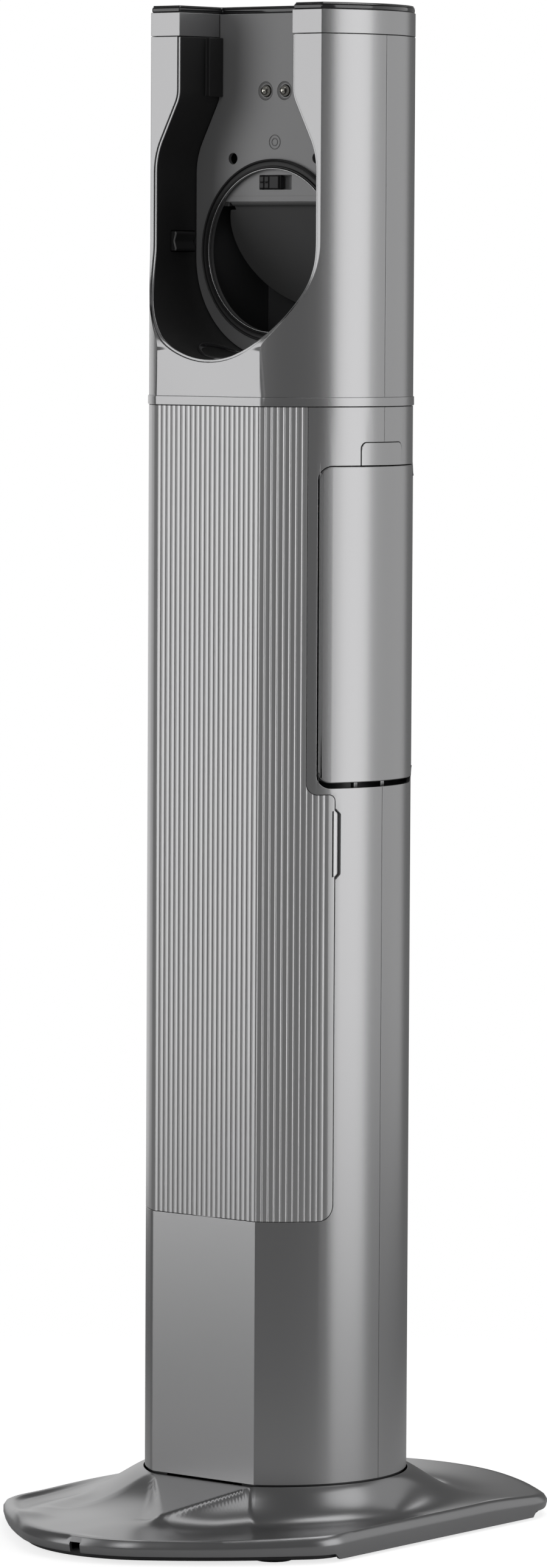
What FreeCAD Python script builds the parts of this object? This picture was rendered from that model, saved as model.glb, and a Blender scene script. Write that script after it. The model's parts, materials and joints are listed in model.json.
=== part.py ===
"""Docking and emptying tower for a cordless stick vacuum cleaner (millimetres, +Z up).

The origin is on the floor under the middle of the oval base. The front faces -Y and +X is
the side with the dust bag cover. The round tower stands a little behind the origin, on the
vertical line x = 0, y = axis_back. Angles round the tower are counted from its front,
towards +X, so a piece at 90 degrees is on the +X side.
"""

import FreeCAD, Part
import math
import os
import re
import Sketcher
from FreeCAD import Placement, Rotation, Vector

SIZES = {
    # round tower
    "tower_radius": 87,
    "axis_back": 10,
    "wall": 2.5,
    "seam": 0.4,
    "body_flat": 75.56,
    "head_flat": 48.98,
    "reach": 30,
    # levels
    "collar_top": 33,
    "body_low": 35.3,
    "body_high": 738.7,
    "belt_low": 739.1,
    "belt_high": 745,
    "belt_proud": 0.6,
    "head_high": 979.6,
    "crown_low": 980,
    "crown_high": 995.4,
    "cap_high": 1000,
    # leaning front of the head
    "lean_low": 774,
    "lean_angle": 29,
    "lean_low_radius": 20,
    "lean_high_radius": 74,
    # cradle that takes the cleaner
    "cradle_centre": 836,
    "cradle_half": 67,
    "neck_half": 47.4,
    "shoulder_low": 902,
    "shoulder_high": 940,
    "shoulder_low_radius": 45,
    "shoulder_high_radius": 20,
    "cradle_wall": 2,
    "plate_front": 2,
    "plate_thick": 3,
    "step_depth": 14,
    "step_width": 3.4,
    # dust port
    "port_centre": 840,
    "port_radius": 53,
    "seal_inner": 54,
    "seal_outer": 60,
    "seal_stand": 3,
    "seal_notch_half": 18,
    "flap_hinge_level": 872.3,
    "flap_pin_radius": 1.5,
    "flap_barrel": 3,
    "flap_half": 39,
    "flap_side_gap": 2,
    "ear_thick": 4.5,
    "flap_hinge_y": 7,
    "flap_thick": 2,
    "flap_open": 33,
    "duct_half": 57,
    "duct_wall": 2,
    "duct_back": 66,
    "duct_low": 776,
    "duct_high": 897,
    "slot_half": 13.5,
    "slot_low": 880,
    "slot_high": 889.4,
    "slider_long": 18,
    # charging contacts
    "contact_half": 8,
    "contact_level": 944.5,
    "contact_ball": 3.5,
    "contact_ring": 6,
    "locating_x": 35.5,
    "locating_level": 900.4,
    "locating_radius": 3.65,
    # clamp pads
    "clamp_low": 839.5,
    "clamp_high": 852.5,
    "clamp_front": -23,
    "clamp_back": 1,
    "clamp_tip": 63,
    "clamp_tail": 72,
    # storage door
    "door_low": 208.6,
    "door_high": 738.7,
    "window_depth": 12,
    "door_step": 487,
    "door_step_inner": 8,
    "door_step_outer": 4,
    "door_foot_round": 10,
    "door_left": -60,
    "door_hinge_room": 5.4,
    "door_right_low": 63.7,
    "door_right_high": 50.6,
    "door_thick": 3,
    "door_hinge_angle": -61.6,
    "door_hinge_inset": 3.3,
    "door_barrel": 3.1,
    "door_pin_radius": 1.5,
    "door_pin_grip": 12,
    # storage bay
    "bay_gap": 0.6,
    "bay_wall": 2,
    "bay_back": -5,
    "bay_back_high": -32,
    "bay_half": 62,
    "magnet_long": 14,
    # grip beside the door
    "grip_low": 432,
    "grip_high": 478,
    "grip_end": 66.6,
    "grip_slant": 3.4,
    # dust bag cover
    "cover_gap_width": 0.6,
    "cover_start": 56,
    "cover_end": 124.6,
    "cover_low": 494.8,
    "cover_high": 700.2,
    "cover_proud": 0.4,
    "cover_thick": 3,
    "cover_corner": 8,
    "cover_sill": 3.6,
    "cover_axis_x": 78,
    "cover_axis_z": 483.2,
    "cover_barrel": 3.2,
    "cover_pin_radius": 1.5,
    "cover_arm_offset": 12,
    "cover_arm_width": 4,
    "cover_pin_half": 21,
    "cover_lug_half": 3.5,
    # latch button
    "latch_half": 21,
    "latch_low": 700.8,
    "latch_high": 715.6,
    "latch_stem_in": 58,
    "latch_stem_half": 6,
    "latch_round": 4.5,
    # decks
    "deck_thick": 4,
    "lower_deck_low": 200,
    "motor_deck_low": 318,
    "bag_deck_low": 470,
    "head_deck_low": 740,
    "inner_radius": 84.5,
    # dust bag chamber
    "chamber_low": 505,
    "chamber_high": 700,
    "chamber_front": -25,
    "chamber_back": 80,
    "chamber_radius": 83.8,
    "bag_left": -62,
    "bag_right": 72,
    "bag_front": -19,
    "bag_back": 43,
    "bag_low": 512,
    "bag_high": 668,
    "bag_round": 22,
    "collar_half": 27,
    "duct_y": 48,
    "tube_radius": 19,
    "tube_bore": 16.5,
    "holder_low": 673,
    "holder_high": 692,
    # suction motor
    "motor_y": 44,
    "motor_radius": 45,
    "motor_low": 330,
    "motor_high": 440,
    "core_radius": 28,
    "fan_radius": 39,
    "fan_low": 402,
    "fan_high": 424,
    "fan_hub": 14,
    "shaft_radius": 4,
    "blade_count": 9,
    "filter_radius": 43,
    "filter_low": 446,
    "filter_high": 462,
    # rear vent, filter and inlet
    "vent_start": 150,
    "vent_end": 210,
    "vent_low": 96,
    "vent_high": 190,
    "vent_slot": 3,
    "vent_pitch": 7,
    "vent_margin": 4,
    "vent_first": 5,
    "vent_slots": 12,
    "pad_half": 38,
    "pad_deep": 18,
    "pad_back": 50,
    "supply_half": 35,
    "supply_deep": 60,
    "supply_high": 42,
    "inlet_level": 62,
    "inlet_half": 24,
    "inlet_high": 80,
    # base
    "base_half": 140,
    "side_front": -90,
    "side_back": 110,
    "base_front": -204,
    "base_back": 204,
    "nose_radius": 90,
    "nose_angle": 35,
    "cheek_angle": 50,
    "tail_radius": 130,
    "tail_angle": 25,
    "hip_angle": 45,
    "skirt_low": 5,
    "rim_high": 17,
    "rim_slope": 6,
    "mound_radius": 128,
    "mound_high": 29,
    "collar_radius": 93.5,
    "base_wall": 3,
    "plate_inset": 4,
    "plate_low": 2,
    "foot_radius": 14,
    "foot_inset_x": 100,
    "foot_front_y": -115,
    "foot_back_y": 125,
    "gasket_inner": 80.5,
    "gasket_inset": 1.5,
    "well_radius": 76.5,
    "ballast_radius": 75.5,
    "ballast_thick": 10,
    "ballast_bore": 20,
    "screw_ring": 67.5,
    "screw_low": 17.4,
    "screw_head_radius": 3.5,
    "screw_head_high": 2.4,
    "screw_shank_radius": 2,
    "screw_long": 9,
    # start button
    "button_radius": 9,
    "button_y": 52,
    "lens_half": 8,
    "lens_near": 20,
    "lens_far": 17,
    "board_half": 40,
    "board_thick": 1.6,
    "running_fit": 0.05,
    "clearance": 0.4,
}

X_AXIS = Vector(1, 0, 0)
Y_AXIS = Vector(0, 1, 0)
Z_AXIS = Vector(0, 0, 1)
ALONG_X = Rotation(Y_AXIS, 90)
ALONG_Y = Rotation(X_AXIS, -90)

doc = FreeCAD.newDocument("docking_tower")
sheet = doc.addObject("Spreadsheet::Sheet", "Sizes")
for row, (alias, number) in enumerate(SIZES.items(), start=1):
    sheet.set(f"A{row}", alias)
    sheet.set(f"B{row}", str(number))
    sheet.setAlias(f"B{row}", alias)
doc.recompute()

nodes = []


def size(alias):
    """Return one driving dimension from the sheet."""
    return float(sheet.get(alias))


def bound(text):
    """Turn 'tower_radius - wall' into an expression on the sheet's cells."""
    return re.sub(r"[a-z]\w+", lambda word: "Sizes." + word.group(), text)


def sized(kind, name, at=("0", "0", "0"), turn=None, **sizes):
    """Add a Part primitive whose sizes and place are bound to the sheet."""
    item = doc.addObject(kind, name)
    if turn is not None:
        item.Placement = Placement(Vector(), turn)
    for prop, text in sizes.items():
        item.setExpression(prop, bound(text))
    for letter, text in zip("xyz", at):
        item.setExpression("Placement.Base." + letter, bound(text))
    return item


def block(name, low, high):
    """Box between two corners given as texts."""
    spans = [f"({b}) - ({a})" for a, b in zip(low, high)]
    return sized("Part::Box", name, low, Length=spans[0], Width=spans[1], Height=spans[2])


def rod(name, at, radius, length, turn=None):
    """Round bar that starts at a point and runs along Z, or as turned."""
    return sized("Part::Cylinder", name, at, turn, Radius=radius, Height=length)


def cut(name, base, *tools):
    """Base with every tool taken away."""
    for number, tool in enumerate(tools, start=1):
        last = number == len(tools)
        item = doc.addObject("Part::Cut", name if last else f"{name}_cut")
        item.Base = base
        item.Tool = tool
        base = item
    return base


def fuse(name, *items):
    """All the items as one solid."""
    item = doc.addObject("Part::MultiFuse", name)
    item.Shapes = list(items)
    item.Refine = True
    return item


def common(name, *items):
    """What all the items share."""
    item = doc.addObject("Part::MultiCommon", name)
    item.Shapes = list(items)
    return item


def shaped(name, shape):
    """Plain feature for a form that no primitive or sketch gives."""
    item = doc.addObject("Part::Feature", name)
    item.Shape = shape
    return item


def node(name, item):
    """Name an object as a finished sub-part of the tower."""
    item.Label = name
    nodes.append(item)
    return item


def at_angle(angle, radius):
    """Point on the tower at an angle from its front."""
    turn = math.radians(angle)
    return Vector(radius * math.sin(turn), size("axis_back") - radius * math.cos(turn), 0)


def sector(name, start, end, low, high, radius="tower_radius + reach"):
    """Upright wedge of the tower between two angles from its front."""
    turn = Rotation(Z_AXIS, size(start) - 90)
    item = sized("Part::Cylinder", name, ("0", "axis_back", low), turn,
                 Radius=radius, Height=f"({high}) - ({low})", Angle=f"{end} - ({start})")
    return item


def tower_block(name, radius, flat, low, high):
    """Round tower section with its flat front."""
    drum = rod(name + "_drum", ("0", "axis_back", low), radius, f"({high}) - ({low})")
    slab = block(name + "_slab", (f"-({radius})", f"axis_back - ({flat})", low),
                 (radius, f"axis_back + ({radius})", high))
    return common(name, drum, slab)


def tower_shell(name, low, high, flat="body_flat", proud="0", wall="wall"):
    """Wall of the tower between two levels."""
    outside = tower_block(name + "_outside", f"tower_radius + {proud}", f"{flat} + {proud}", low, high)
    inside = tower_block(name + "_inside", f"tower_radius - {wall}", f"{flat} - {wall}",
                         f"{low} - 1", f"{high} + 1")
    return cut(name, outside, inside)


def front_half(name):
    """Everything before the tower's seam plane."""
    return block(name, ("-200", "-300", "0"), ("200", "axis_back", "cap_high + reach"))


def rear_half(name):
    """Everything behind the tower's seam plane."""
    return block(name, ("-200", "axis_back", "0"), ("200", "300", "cap_high + reach"))


def profile_body(name, plane, corners):
    """PartDesign body with one closed sketch of straight sides, each corner bound to the sheet."""
    body = doc.addObject("PartDesign::Body", name + "_body")
    origin = next(item for item in body.Origin.OriginFeatures if item.Role == plane)
    sketch = body.newObject("Sketcher::SketchObject", name + "_sketch")
    sketch.AttachmentSupport = [(origin, "")]
    sketch.MapMode = "FlatFace"
    places = [Vector(sum_of(across), sum_of(up), 0) for across, up in corners]
    count = len(places)
    for number, place in enumerate(places):
        sketch.addGeometry(Part.LineSegment(place, places[(number + 1) % count]), False)
    for number in range(count):
        sketch.addConstraint(Sketcher.Constraint("Coincident", number, 2, (number + 1) % count, 1))
    for number, ((across, up), place) in enumerate(zip(corners, places)):
        bind_corner(sketch, number, "DistanceX", across, place.x, -2)
        bind_corner(sketch, number, "DistanceY", up, place.y, -1)
    doc.recompute()
    return body, sketch


def bind_corner(sketch, number, kind, text, place, axis):
    """Hold one coordinate of a sketch corner to the sheet, or to the axis when it is nought."""
    if abs(place) < 1e-9:
        sketch.addConstraint(Sketcher.Constraint("PointOnObject", number, 1, axis))
        return
    if place > 0:
        index = sketch.addConstraint(Sketcher.Constraint(kind, -1, 1, number, 1, place))
        sketch.setExpression(f"Constraints[{index}]", bound(text))
        return
    index = sketch.addConstraint(Sketcher.Constraint(kind, number, 1, -1, 1, -place))
    sketch.setExpression(f"Constraints[{index}]", bound(f"-({text})"))


def sum_of(text):
    """Add up a text such as 'fan_low - 2' or '-slot_half'."""
    total = 0.0
    for sign, word in re.findall(r"([+-]?)\s*([\w.]+)", text):
        amount = size(word) if word[0].isalpha() else float(word)
        total += -amount if sign == "-" else amount
    return total


def turned(name, corners, at=("0", "0", "0"), turn=None):
    """PartDesign body revolved about its own upright axis from a half section."""
    body, sketch = profile_body(name, "XZ_Plane", corners)
    revolution = body.newObject("PartDesign::Revolution", name + "_revolution")
    revolution.Profile = sketch
    revolution.ReferenceAxis = (sketch, ["V_Axis"])
    revolution.Angle = 360
    place_body(body, at, turn)
    return body


def plate(name, corners, thick, at=("0", "0", "0"), turn=None):
    """PartDesign body padded upwards from its outline."""
    body, sketch = profile_body(name, "XY_Plane", corners)
    pad = body.newObject("PartDesign::Pad", name + "_pad")
    pad.Profile = sketch
    pad.setExpression("Length", bound(thick))
    place_body(body, at, turn)
    return body


def place_body(body, at, turn):
    """Turn a body and bind its place."""
    if turn is not None:
        body.Placement = Placement(Vector(), turn)
    for letter, text in zip("xyz", at):
        body.setExpression("Placement.Base." + letter, bound(text))
    doc.recompute()


def rounded_wire(corners):
    """Closed wire in the XZ plane from (x, z, radius) corners, each rounded by its radius."""
    count = len(corners)
    starts = []
    ends = []
    middles = []
    for number, (across, up, radius) in enumerate(corners):
        here = Vector(across, 0, up)
        before = Vector(corners[number - 1][0], 0, corners[number - 1][1])
        after = Vector(corners[(number + 1) % count][0], 0, corners[(number + 1) % count][1])
        back = (before - here).normalize()
        ahead = (after - here).normalize()
        half = back.getAngle(ahead) / 2
        run = radius / math.tan(half)
        starts.append(here + back * run)
        ends.append(here + ahead * run)
        inward = (back + ahead).normalize()
        middles.append(here + inward * (radius / math.sin(half) - radius))
    edges = []
    for number, (across, up, radius) in enumerate(corners):
        if radius > 0:
            edges.append(Part.Arc(starts[number], middles[number], ends[number]).toShape())
        follower = starts[(number + 1) % count]
        if (follower - ends[number]).Length > 1e-6:
            edges.append(Part.LineSegment(ends[number], follower).toShape())
    return Part.Wire(edges)


def cradle_prism(name, grow, front, back, top="cap_high + reach"):
    """Upright U of the cradle, wider by grow, between two depths."""
    half = size("cradle_half")
    neck = size("neck_half")
    high = sum_of(top)
    low = size("cradle_centre") - half
    sides = [(half, low, half - 0.01), (half, size("shoulder_low"), size("shoulder_low_radius")),
             (neck, size("shoulder_high"), size("shoulder_high_radius")), (neck, high, 0)]
    mirrored = [(-across, up, radius) for across, up, radius in reversed(sides)]
    face = Part.Face(rounded_wire(sides + mirrored))
    if grow:
        face = face.makeOffset2D(grow)
    depth = sum_of(front)
    solid = face.extrude(Vector(0, sum_of(back) - depth, 0))
    solid.translate(Vector(0, depth, 0))
    return shaped(name, solid)


def lean_block(name, inset, low="belt_high", high="head_high"):
    """Everything behind the head's leaning front, set back by an inset."""
    angle = math.radians(size("lean_angle"))
    low_radius = size("lean_low_radius")
    high_radius = size("lean_high_radius")
    fall = size("body_flat") - size("head_flat")
    slope = (fall - (low_radius + high_radius) * (1 - math.cos(angle))) / math.sin(angle)
    front = size("axis_back") - size("body_flat") + inset
    first = Vector(0, front, sum_of(low))
    second = Vector(0, front, size("lean_low"))
    third = second + Vector(0, low_radius * (1 - math.cos(angle)), low_radius * math.sin(angle))
    fourth = third + Vector(0, slope * math.sin(angle), slope * math.cos(angle))
    fifth = fourth + Vector(0, high_radius * (1 - math.cos(angle)), high_radius * math.sin(angle))
    bend = Vector(0, low_radius * (1 - math.cos(angle / 2)), low_radius * math.sin(angle / 2))
    hollow = Vector(0, high_radius * (1 - math.cos(angle / 2)), high_radius * math.sin(angle / 2))
    sixth = Vector(0, fifth.y, sum_of(high))
    back = size("axis_back") + size("tower_radius") + size("reach")
    edges = [
        Part.LineSegment(first, second).toShape(),
        Part.Arc(second, second + bend, third).toShape(),
        Part.LineSegment(third, fourth).toShape(),
        Part.Arc(fourth, fifth - hollow, fifth).toShape(),
        Part.LineSegment(fifth, sixth).toShape(),
        Part.LineSegment(sixth, Vector(0, back, sixth.z)).toShape(),
        Part.LineSegment(Vector(0, back, sixth.z), Vector(0, back, first.z)).toShape(),
        Part.LineSegment(Vector(0, back, first.z), first).toShape(),
    ]
    half = size("tower_radius") + size("reach")
    solid = Part.Face(Part.Wire(edges)).extrude(Vector(2 * half, 0, 0))
    solid.translate(Vector(-half, 0, 0))
    return shaped(name, solid)


def base_outline(level, inset):
    """Closed oval outline of the base at a level, drawn in by an inset."""
    half = size("base_half") - inset
    edges = []
    ends = []
    for way, tip, side, nose, turn, cheek in (
            (-1, "base_front", "side_front", "nose_radius", "nose_angle", "cheek_angle"),
            (1, "base_back", "side_back", "tail_radius", "tail_angle", "hip_angle")):
        radius = size(nose) - inset
        first = math.radians(size(turn))
        second = math.radians(size(cheek))
        across = half - radius * math.sin(first)
        along = abs(size(tip) - size(side)) - inset - radius * (1 - math.cos(first))
        wide = math.sin(second) - math.sin(first)
        deep = math.cos(first) - math.cos(second)
        remaining = 1 - math.sin(second)
        corner = (along * wide - across * deep) / (math.cos(second) * wide - remaining * deep)
        flank = (across - corner * remaining) / wide
        peak = size(tip) - way * inset

        def on_nose(angle):
            return Vector(radius * math.sin(angle), peak - way * radius * (1 - math.cos(angle)), level)

        def on_flank(angle):
            start = on_nose(first)
            return start + Vector(flank * (math.sin(angle) - math.sin(first)),
                                  -way * flank * (math.cos(first) - math.cos(angle)), 0)

        def on_corner(angle):
            start = on_flank(second)
            return start + Vector(corner * (math.sin(angle) - math.sin(second)),
                                  -way * corner * (math.cos(second) - math.cos(angle)), 0)

        quarter = math.pi / 2
        nose_arc = Part.Arc(on_nose(-first), on_nose(0), on_nose(first)).toShape()
        flank_middle = on_flank((first + second) / 2)
        flank_arc = Part.Arc(on_nose(first), flank_middle, on_flank(second)).toShape()
        corner_middle = on_corner((second + quarter) / 2)
        corner_arc = Part.Arc(on_flank(second), corner_middle, on_corner(quarter)).toShape()
        edges += [nose_arc, flank_arc, corner_arc]
        edges += [arc.mirror(Vector(), X_AXIS) for arc in (flank_arc, corner_arc)]
        ends.append(on_corner(quarter))
    for sign in (-1, 1):
        start = Vector(sign * ends[0].x, ends[0].y, level)
        finish = Vector(sign * ends[1].x, ends[1].y, level)
        edges.append(Part.LineSegment(start, finish).toShape())
    return Part.Wire(Part.__sortEdges__(edges))


def base_slab(name, low, high, inset):
    """Flat oval slab between two levels."""
    face = Part.Face(base_outline(sum_of(low), inset))
    return shaped(name, face.extrude(Vector(0, 0, sum_of(high) - sum_of(low))))


def build_base():
    """Sculpted top cover, underside plate, ballast, feet and screws."""
    rim = base_slab("rim_slab", "skirt_low", "rim_high - rim_slope", 0)
    slope_foot = base_outline(sum_of("rim_high - rim_slope"), 0)
    slope_top = base_outline(size("rim_high"), size("rim_slope"))
    slope = shaped("rim_slope_slab", Part.makeLoft([slope_foot, slope_top], True))
    mound = sized("Part::Cone", "mound", ("0", "axis_back", "rim_high"),
                  Radius1="mound_radius", Radius2="collar_radius + 4", Height="mound_high - rim_high")
    collar = rod("collar", ("0", "axis_back", "rim_high"), "collar_radius", "collar_top - rim_high")
    outside = fuse("base_outside", rim, slope, mound, collar)
    hollow = base_slab("base_hollow", "skirt_low - 1", "rim_high - base_wall - 1", size("base_wall") + 2)
    well = rod("collar_well", ("0", "axis_back", "skirt_low - 1"), "well_radius", "collar_top")
    node("base_cover", cut("base_cover", outside, hollow, well))

    under = base_slab("under_slab", "plate_low", "skirt_low + 2", size("plate_inset") + 1.4)
    node("base_plate", cut("base_plate", under, *foot_pockets()))

    ballast = rod("ballast_disc", ("0", "axis_back", "skirt_low + 2"), "ballast_radius", "ballast_thick")
    bore = rod("ballast_bore", ("0", "axis_back", "skirt_low"), "ballast_bore", "2 * ballast_thick")
    node("base_ballast", cut("base_ballast", ballast, bore))

    feet = []
    for number, (across, along) in enumerate(foot_places()):
        foot = rod(f"foot_{number}", (across, along, "0"), "foot_radius - running_fit", "plate_low + 2")
        feet.append(foot)
    node("rubber_feet", compound("rubber_feet", feet))

    screws = []
    for number in range(4):
        place = at_angle(45 + 90 * number, size("screw_ring"))
        screws.append(turned(f"base_screw_{number}", [
            ("0", "0"), ("screw_head_radius", "0"), ("screw_head_radius", "screw_head_high"),
            ("screw_shank_radius", "screw_head_high"), ("screw_shank_radius", "screw_long"),
            ("0", "screw_long")], (f"{place.x:.3f}", f"{place.y:.3f}", "screw_low")))
    node("base_screws", compound("base_screws", screws))
    ring = turned("foot_gasket", [
        ("gasket_inner", "collar_top"), ("tower_radius - gasket_inset", "collar_top"),
        ("tower_radius - gasket_inset", "body_low"), ("gasket_inner", "body_low")],
        ("0", "axis_back", "0"))
    front = block("gasket_front", ("-100", "axis_back - body_flat + gasket_inset", "0"), ("100", "200", "100"))
    node("foot_gasket", common("foot_gasket", ring, front))


def foot_places():
    """Middle of each rubber foot, as texts."""
    return [(sign + "foot_inset_x", along)
            for sign in ("-", "") for along in ("foot_front_y", "foot_back_y")]


def foot_pockets():
    """Round pockets that the feet are glued into."""
    return [rod(f"foot_pocket_{number}", (across, along, "0"), "foot_radius", "plate_low + 2")
            for number, (across, along) in enumerate(foot_places())]


def compound(name, items):
    """Identical pieces kept as separate solids in one node."""
    item = doc.addObject("Part::Compound", name)
    item.Links = items
    return item


def wedge(start, end, low, high):
    """Upright wedge of the tower's wall between two angles, in degrees, and two levels."""
    inner = sum_of("tower_radius - window_depth")
    outer = sum_of("tower_radius + reach")
    foot = Vector(0, size("axis_back"), low)
    solid = Part.makeCylinder(outer, high - low, foot, Z_AXIS, end - start)
    solid.rotate(foot, Z_AXIS, start - 90)
    return solid.cut(Part.makeCylinder(inner, high - low, foot))


def rounded(solid, corners, ease=Part.Shape.makeFillet):
    """Ease the radial edges nearest to (angle, level, radius) corners."""
    for angle, level, radius in corners:
        spot = at_angle(angle, size("tower_radius") + 9) + Vector(0, 0, level)
        edge = min(solid.Edges, key=lambda item: item.CenterOfMass.distanceToPoint(spot))
        solid = ease(solid, radius, [edge])
    return solid


def door_window(name, grow, hinge_room):
    """Space of the storage door in the tower's wall, with its stepped right edge."""
    spare = math.degrees(grow / size("tower_radius"))
    left = size("door_left") - hinge_room
    near = size("door_right_high") + spare
    far = size("door_right_low") + spare
    low = size("door_low") - grow
    step = size("door_step") + grow
    wide = wedge(left, far, low, step)
    narrow = wedge(left, near, step, size("door_high") + grow)
    return shaped(name, rounded(wide.fuse(narrow).removeSplitter(), [
        (near, step, size("door_step_inner") - grow), (far, step, size("door_step_outer") + grow),
        (far, low, size("door_foot_round") + grow)]))


def grip_window(name, shrink):
    """Finger recess with slanted ends beside the storage door."""
    low = size("grip_low") + shrink
    high = size("grip_high") - shrink
    solid = wedge(size("door_right_low") + shrink, size("grip_end"), low, high)
    slant = size("grip_slant")
    return shaped(name, rounded(solid, [(size("grip_end"), low, slant), (size("grip_end"), high, slant)],
                                Part.Shape.makeChamfer))


def side_window(name, front, back, low, high, radius):
    """Block along X with round corners that opens or trims the tower's right side."""
    solid = Part.makeBox(sum_of("tower_radius + reach"), back - front, high - low, Vector(0, front, low))
    edges = [edge for edge in solid.Edges if abs(edge.tangentAt(edge.FirstParameter).x) > 0.9]
    return shaped(name, solid.makeFillet(radius, edges))


def cover_window(name, grow):
    """Outline of the dust bag cover, larger by grow, with more room below for its hinge."""
    front = at_angle(size("cover_start"), sum_of("tower_radius + cover_proud")).y - grow
    back = at_angle(size("cover_end"), sum_of("tower_radius + cover_proud")).y + grow
    low = size("cover_low") - (size("cover_sill") if grow else 0)
    return side_window(name, front, back, low, size("cover_high") + grow, size("cover_corner") + grow)


def latch_window(name, grow):
    """Outline of the latch button, larger by grow, with round upper corners."""
    front = size("axis_back") - size("latch_half") - grow
    back = size("axis_back") + size("latch_half") + grow
    foot = size("latch_low") - (5 * grow)
    solid = Part.makeBox(sum_of("tower_radius + reach"), back - front, size("latch_high") + grow - foot,
                         Vector(0, front, foot))
    middle = (size("latch_low") + size("latch_high")) / 2
    edges = [edge for edge in solid.Edges
             if abs(edge.tangentAt(edge.FirstParameter).x) > 0.9 and edge.CenterOfMass.z > middle]
    return shaped(name, solid.makeFillet(size("latch_round"), edges))


def build_tower():
    """Front and rear shells of the body, belt, decks, vent and inlet."""
    body = tower_shell("body_wall", "body_low", "body_high")
    cover_gap = cover_window("cover_gap", size("cover_gap_width"))
    latch_gap = latch_window("latch_gap", size("seam"))
    door_gap = door_window("door_gap", size("seam"), size("door_hinge_room"))
    front_wall = common("front_wall", body, front_half("body_front"))
    grip_gap = grip_window("grip_gap", 0)
    node("front_shell", cut("front_shell", front_wall, door_gap, cover_gap, latch_gap, grip_gap))

    vent_hole = sector("vent_hole", "vent_start", "vent_end", "vent_low", "vent_high")
    inlet_hole = block("inlet_hole", ("-inlet_half", "axis_back + 40", "body_low - 1"),
                       ("inlet_half", "axis_back + tower_radius + reach", "inlet_high"))
    rear_wall = common("rear_wall", body, rear_half("body_rear"))
    node("rear_shell", cut("rear_shell", rear_wall, cover_gap, latch_gap, vent_hole, inlet_hole))

    node("belt_band", tower_shell("belt_band", "belt_low", "belt_high", proud="belt_proud"))
    recess = common("grip_block", grip_window("grip_inside", 0.2), rod(
        "grip_outer", ("0", "axis_back", "0"), "tower_radius - wall", "cap_high"))
    node("grip_insert", cut("grip_insert", recess, rod(
        "grip_inner", ("0", "axis_back", "0"), "tower_radius - wall - 2", "cap_high")))
    build_decks()
    build_vent()


def build_decks():
    """Four floors that divide the tower and carry what is inside."""
    air_ways = {
        "lower_deck": rod("exhaust_pass", ("0", "motor_y", "lower_deck_low - 5"), "core_radius", "20"),
        "motor_deck": rod("fan_pass", ("0", "motor_y", "motor_deck_low - 5"), "core_radius", "20"),
        "bag_deck": rod("air_pass", ("0", "motor_y", "bag_deck_low - 5"), "filter_radius - 6", "20"),
        "head_deck": rod("duct_pass", ("0", "duct_y", "head_deck_low - 5"), "tube_radius", "20"),
    }
    for name, air_way in air_ways.items():
        low = name + "_low"
        floor = tower_block(name + "_floor", "inner_radius", "body_flat - wall", low, f"{low} + deck_thick")
        openings = [air_way]
        if name in ("motor_deck", "bag_deck"):
            openings.append(block(name + "_front", ("-200", "-200", "0"), ("200", "bay_back", "cap_high")))
        node(name, cut(name, floor, *openings))


def build_vent():
    """Slotted exhaust grille, exhaust filter, power inlet and power supply."""
    around = sector("vent_outer", "vent_start", "vent_end", "vent_low", "vent_high", "tower_radius")
    hollow = rod("vent_inner", ("0", "axis_back", "0"), "tower_radius - wall", "cap_high")
    frame = cut("vent_ring", around, hollow)
    slots = []
    for number in range(int(size("vent_slots"))):
        low = f"vent_low + vent_first + {number} * vent_pitch"
        slots.append(sector(f"vent_slot_{number}", "vent_start", "vent_end", low, low + " + vent_slot"))
        slots[-1].Placement.Rotation = Rotation(Z_AXIS, sum_of("vent_start + vent_margin") - 90)
        slots[-1].setExpression("Angle", bound("vent_end - vent_start - 2 * vent_margin"))
    node("exhaust_grille", cut("exhaust_grille", frame, fuse("vent_slots", *slots)))
    node("exhaust_filter", plate("exhaust_filter", [
        ("-pad_half", "0"), ("pad_half", "0"), ("pad_half", "pad_deep"), ("-pad_half", "pad_deep")],
        "vent_high - vent_low", ("0", "axis_back + pad_back", "vent_low")))
    node("power_supply", plate("power_supply", [
        ("-supply_half", "0"), ("supply_half", "0"), ("supply_half", "supply_deep"),
        ("-supply_half", "supply_deep")],
        "supply_high", ("0", "axis_back - supply_half", "collar_top + 3")))
    skin = tower_shell("inlet_skin", "body_low + seam", "inlet_high - seam")
    width = block("inlet_width", ("seam - inlet_half", "axis_back + 40", "0"),
                  ("inlet_half - seam", "200", "inlet_high"))
    panel = common("inlet_panel", skin, width)
    socket = block("inlet_body", ("-14.6", "axis_back + 64", "inlet_level - 10.6"),
                   ("14.6", "axis_back + tower_radius - 2", "inlet_level + 10.6"))
    mouth = block("inlet_mouth", ("-11", "axis_back + 70", "inlet_level - 7"),
                  ("11", "axis_back + tower_radius + reach", "inlet_level + 7"))
    node("power_inlet", cut("power_inlet", fuse("inlet_outer", panel, socket), mouth))


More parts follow.
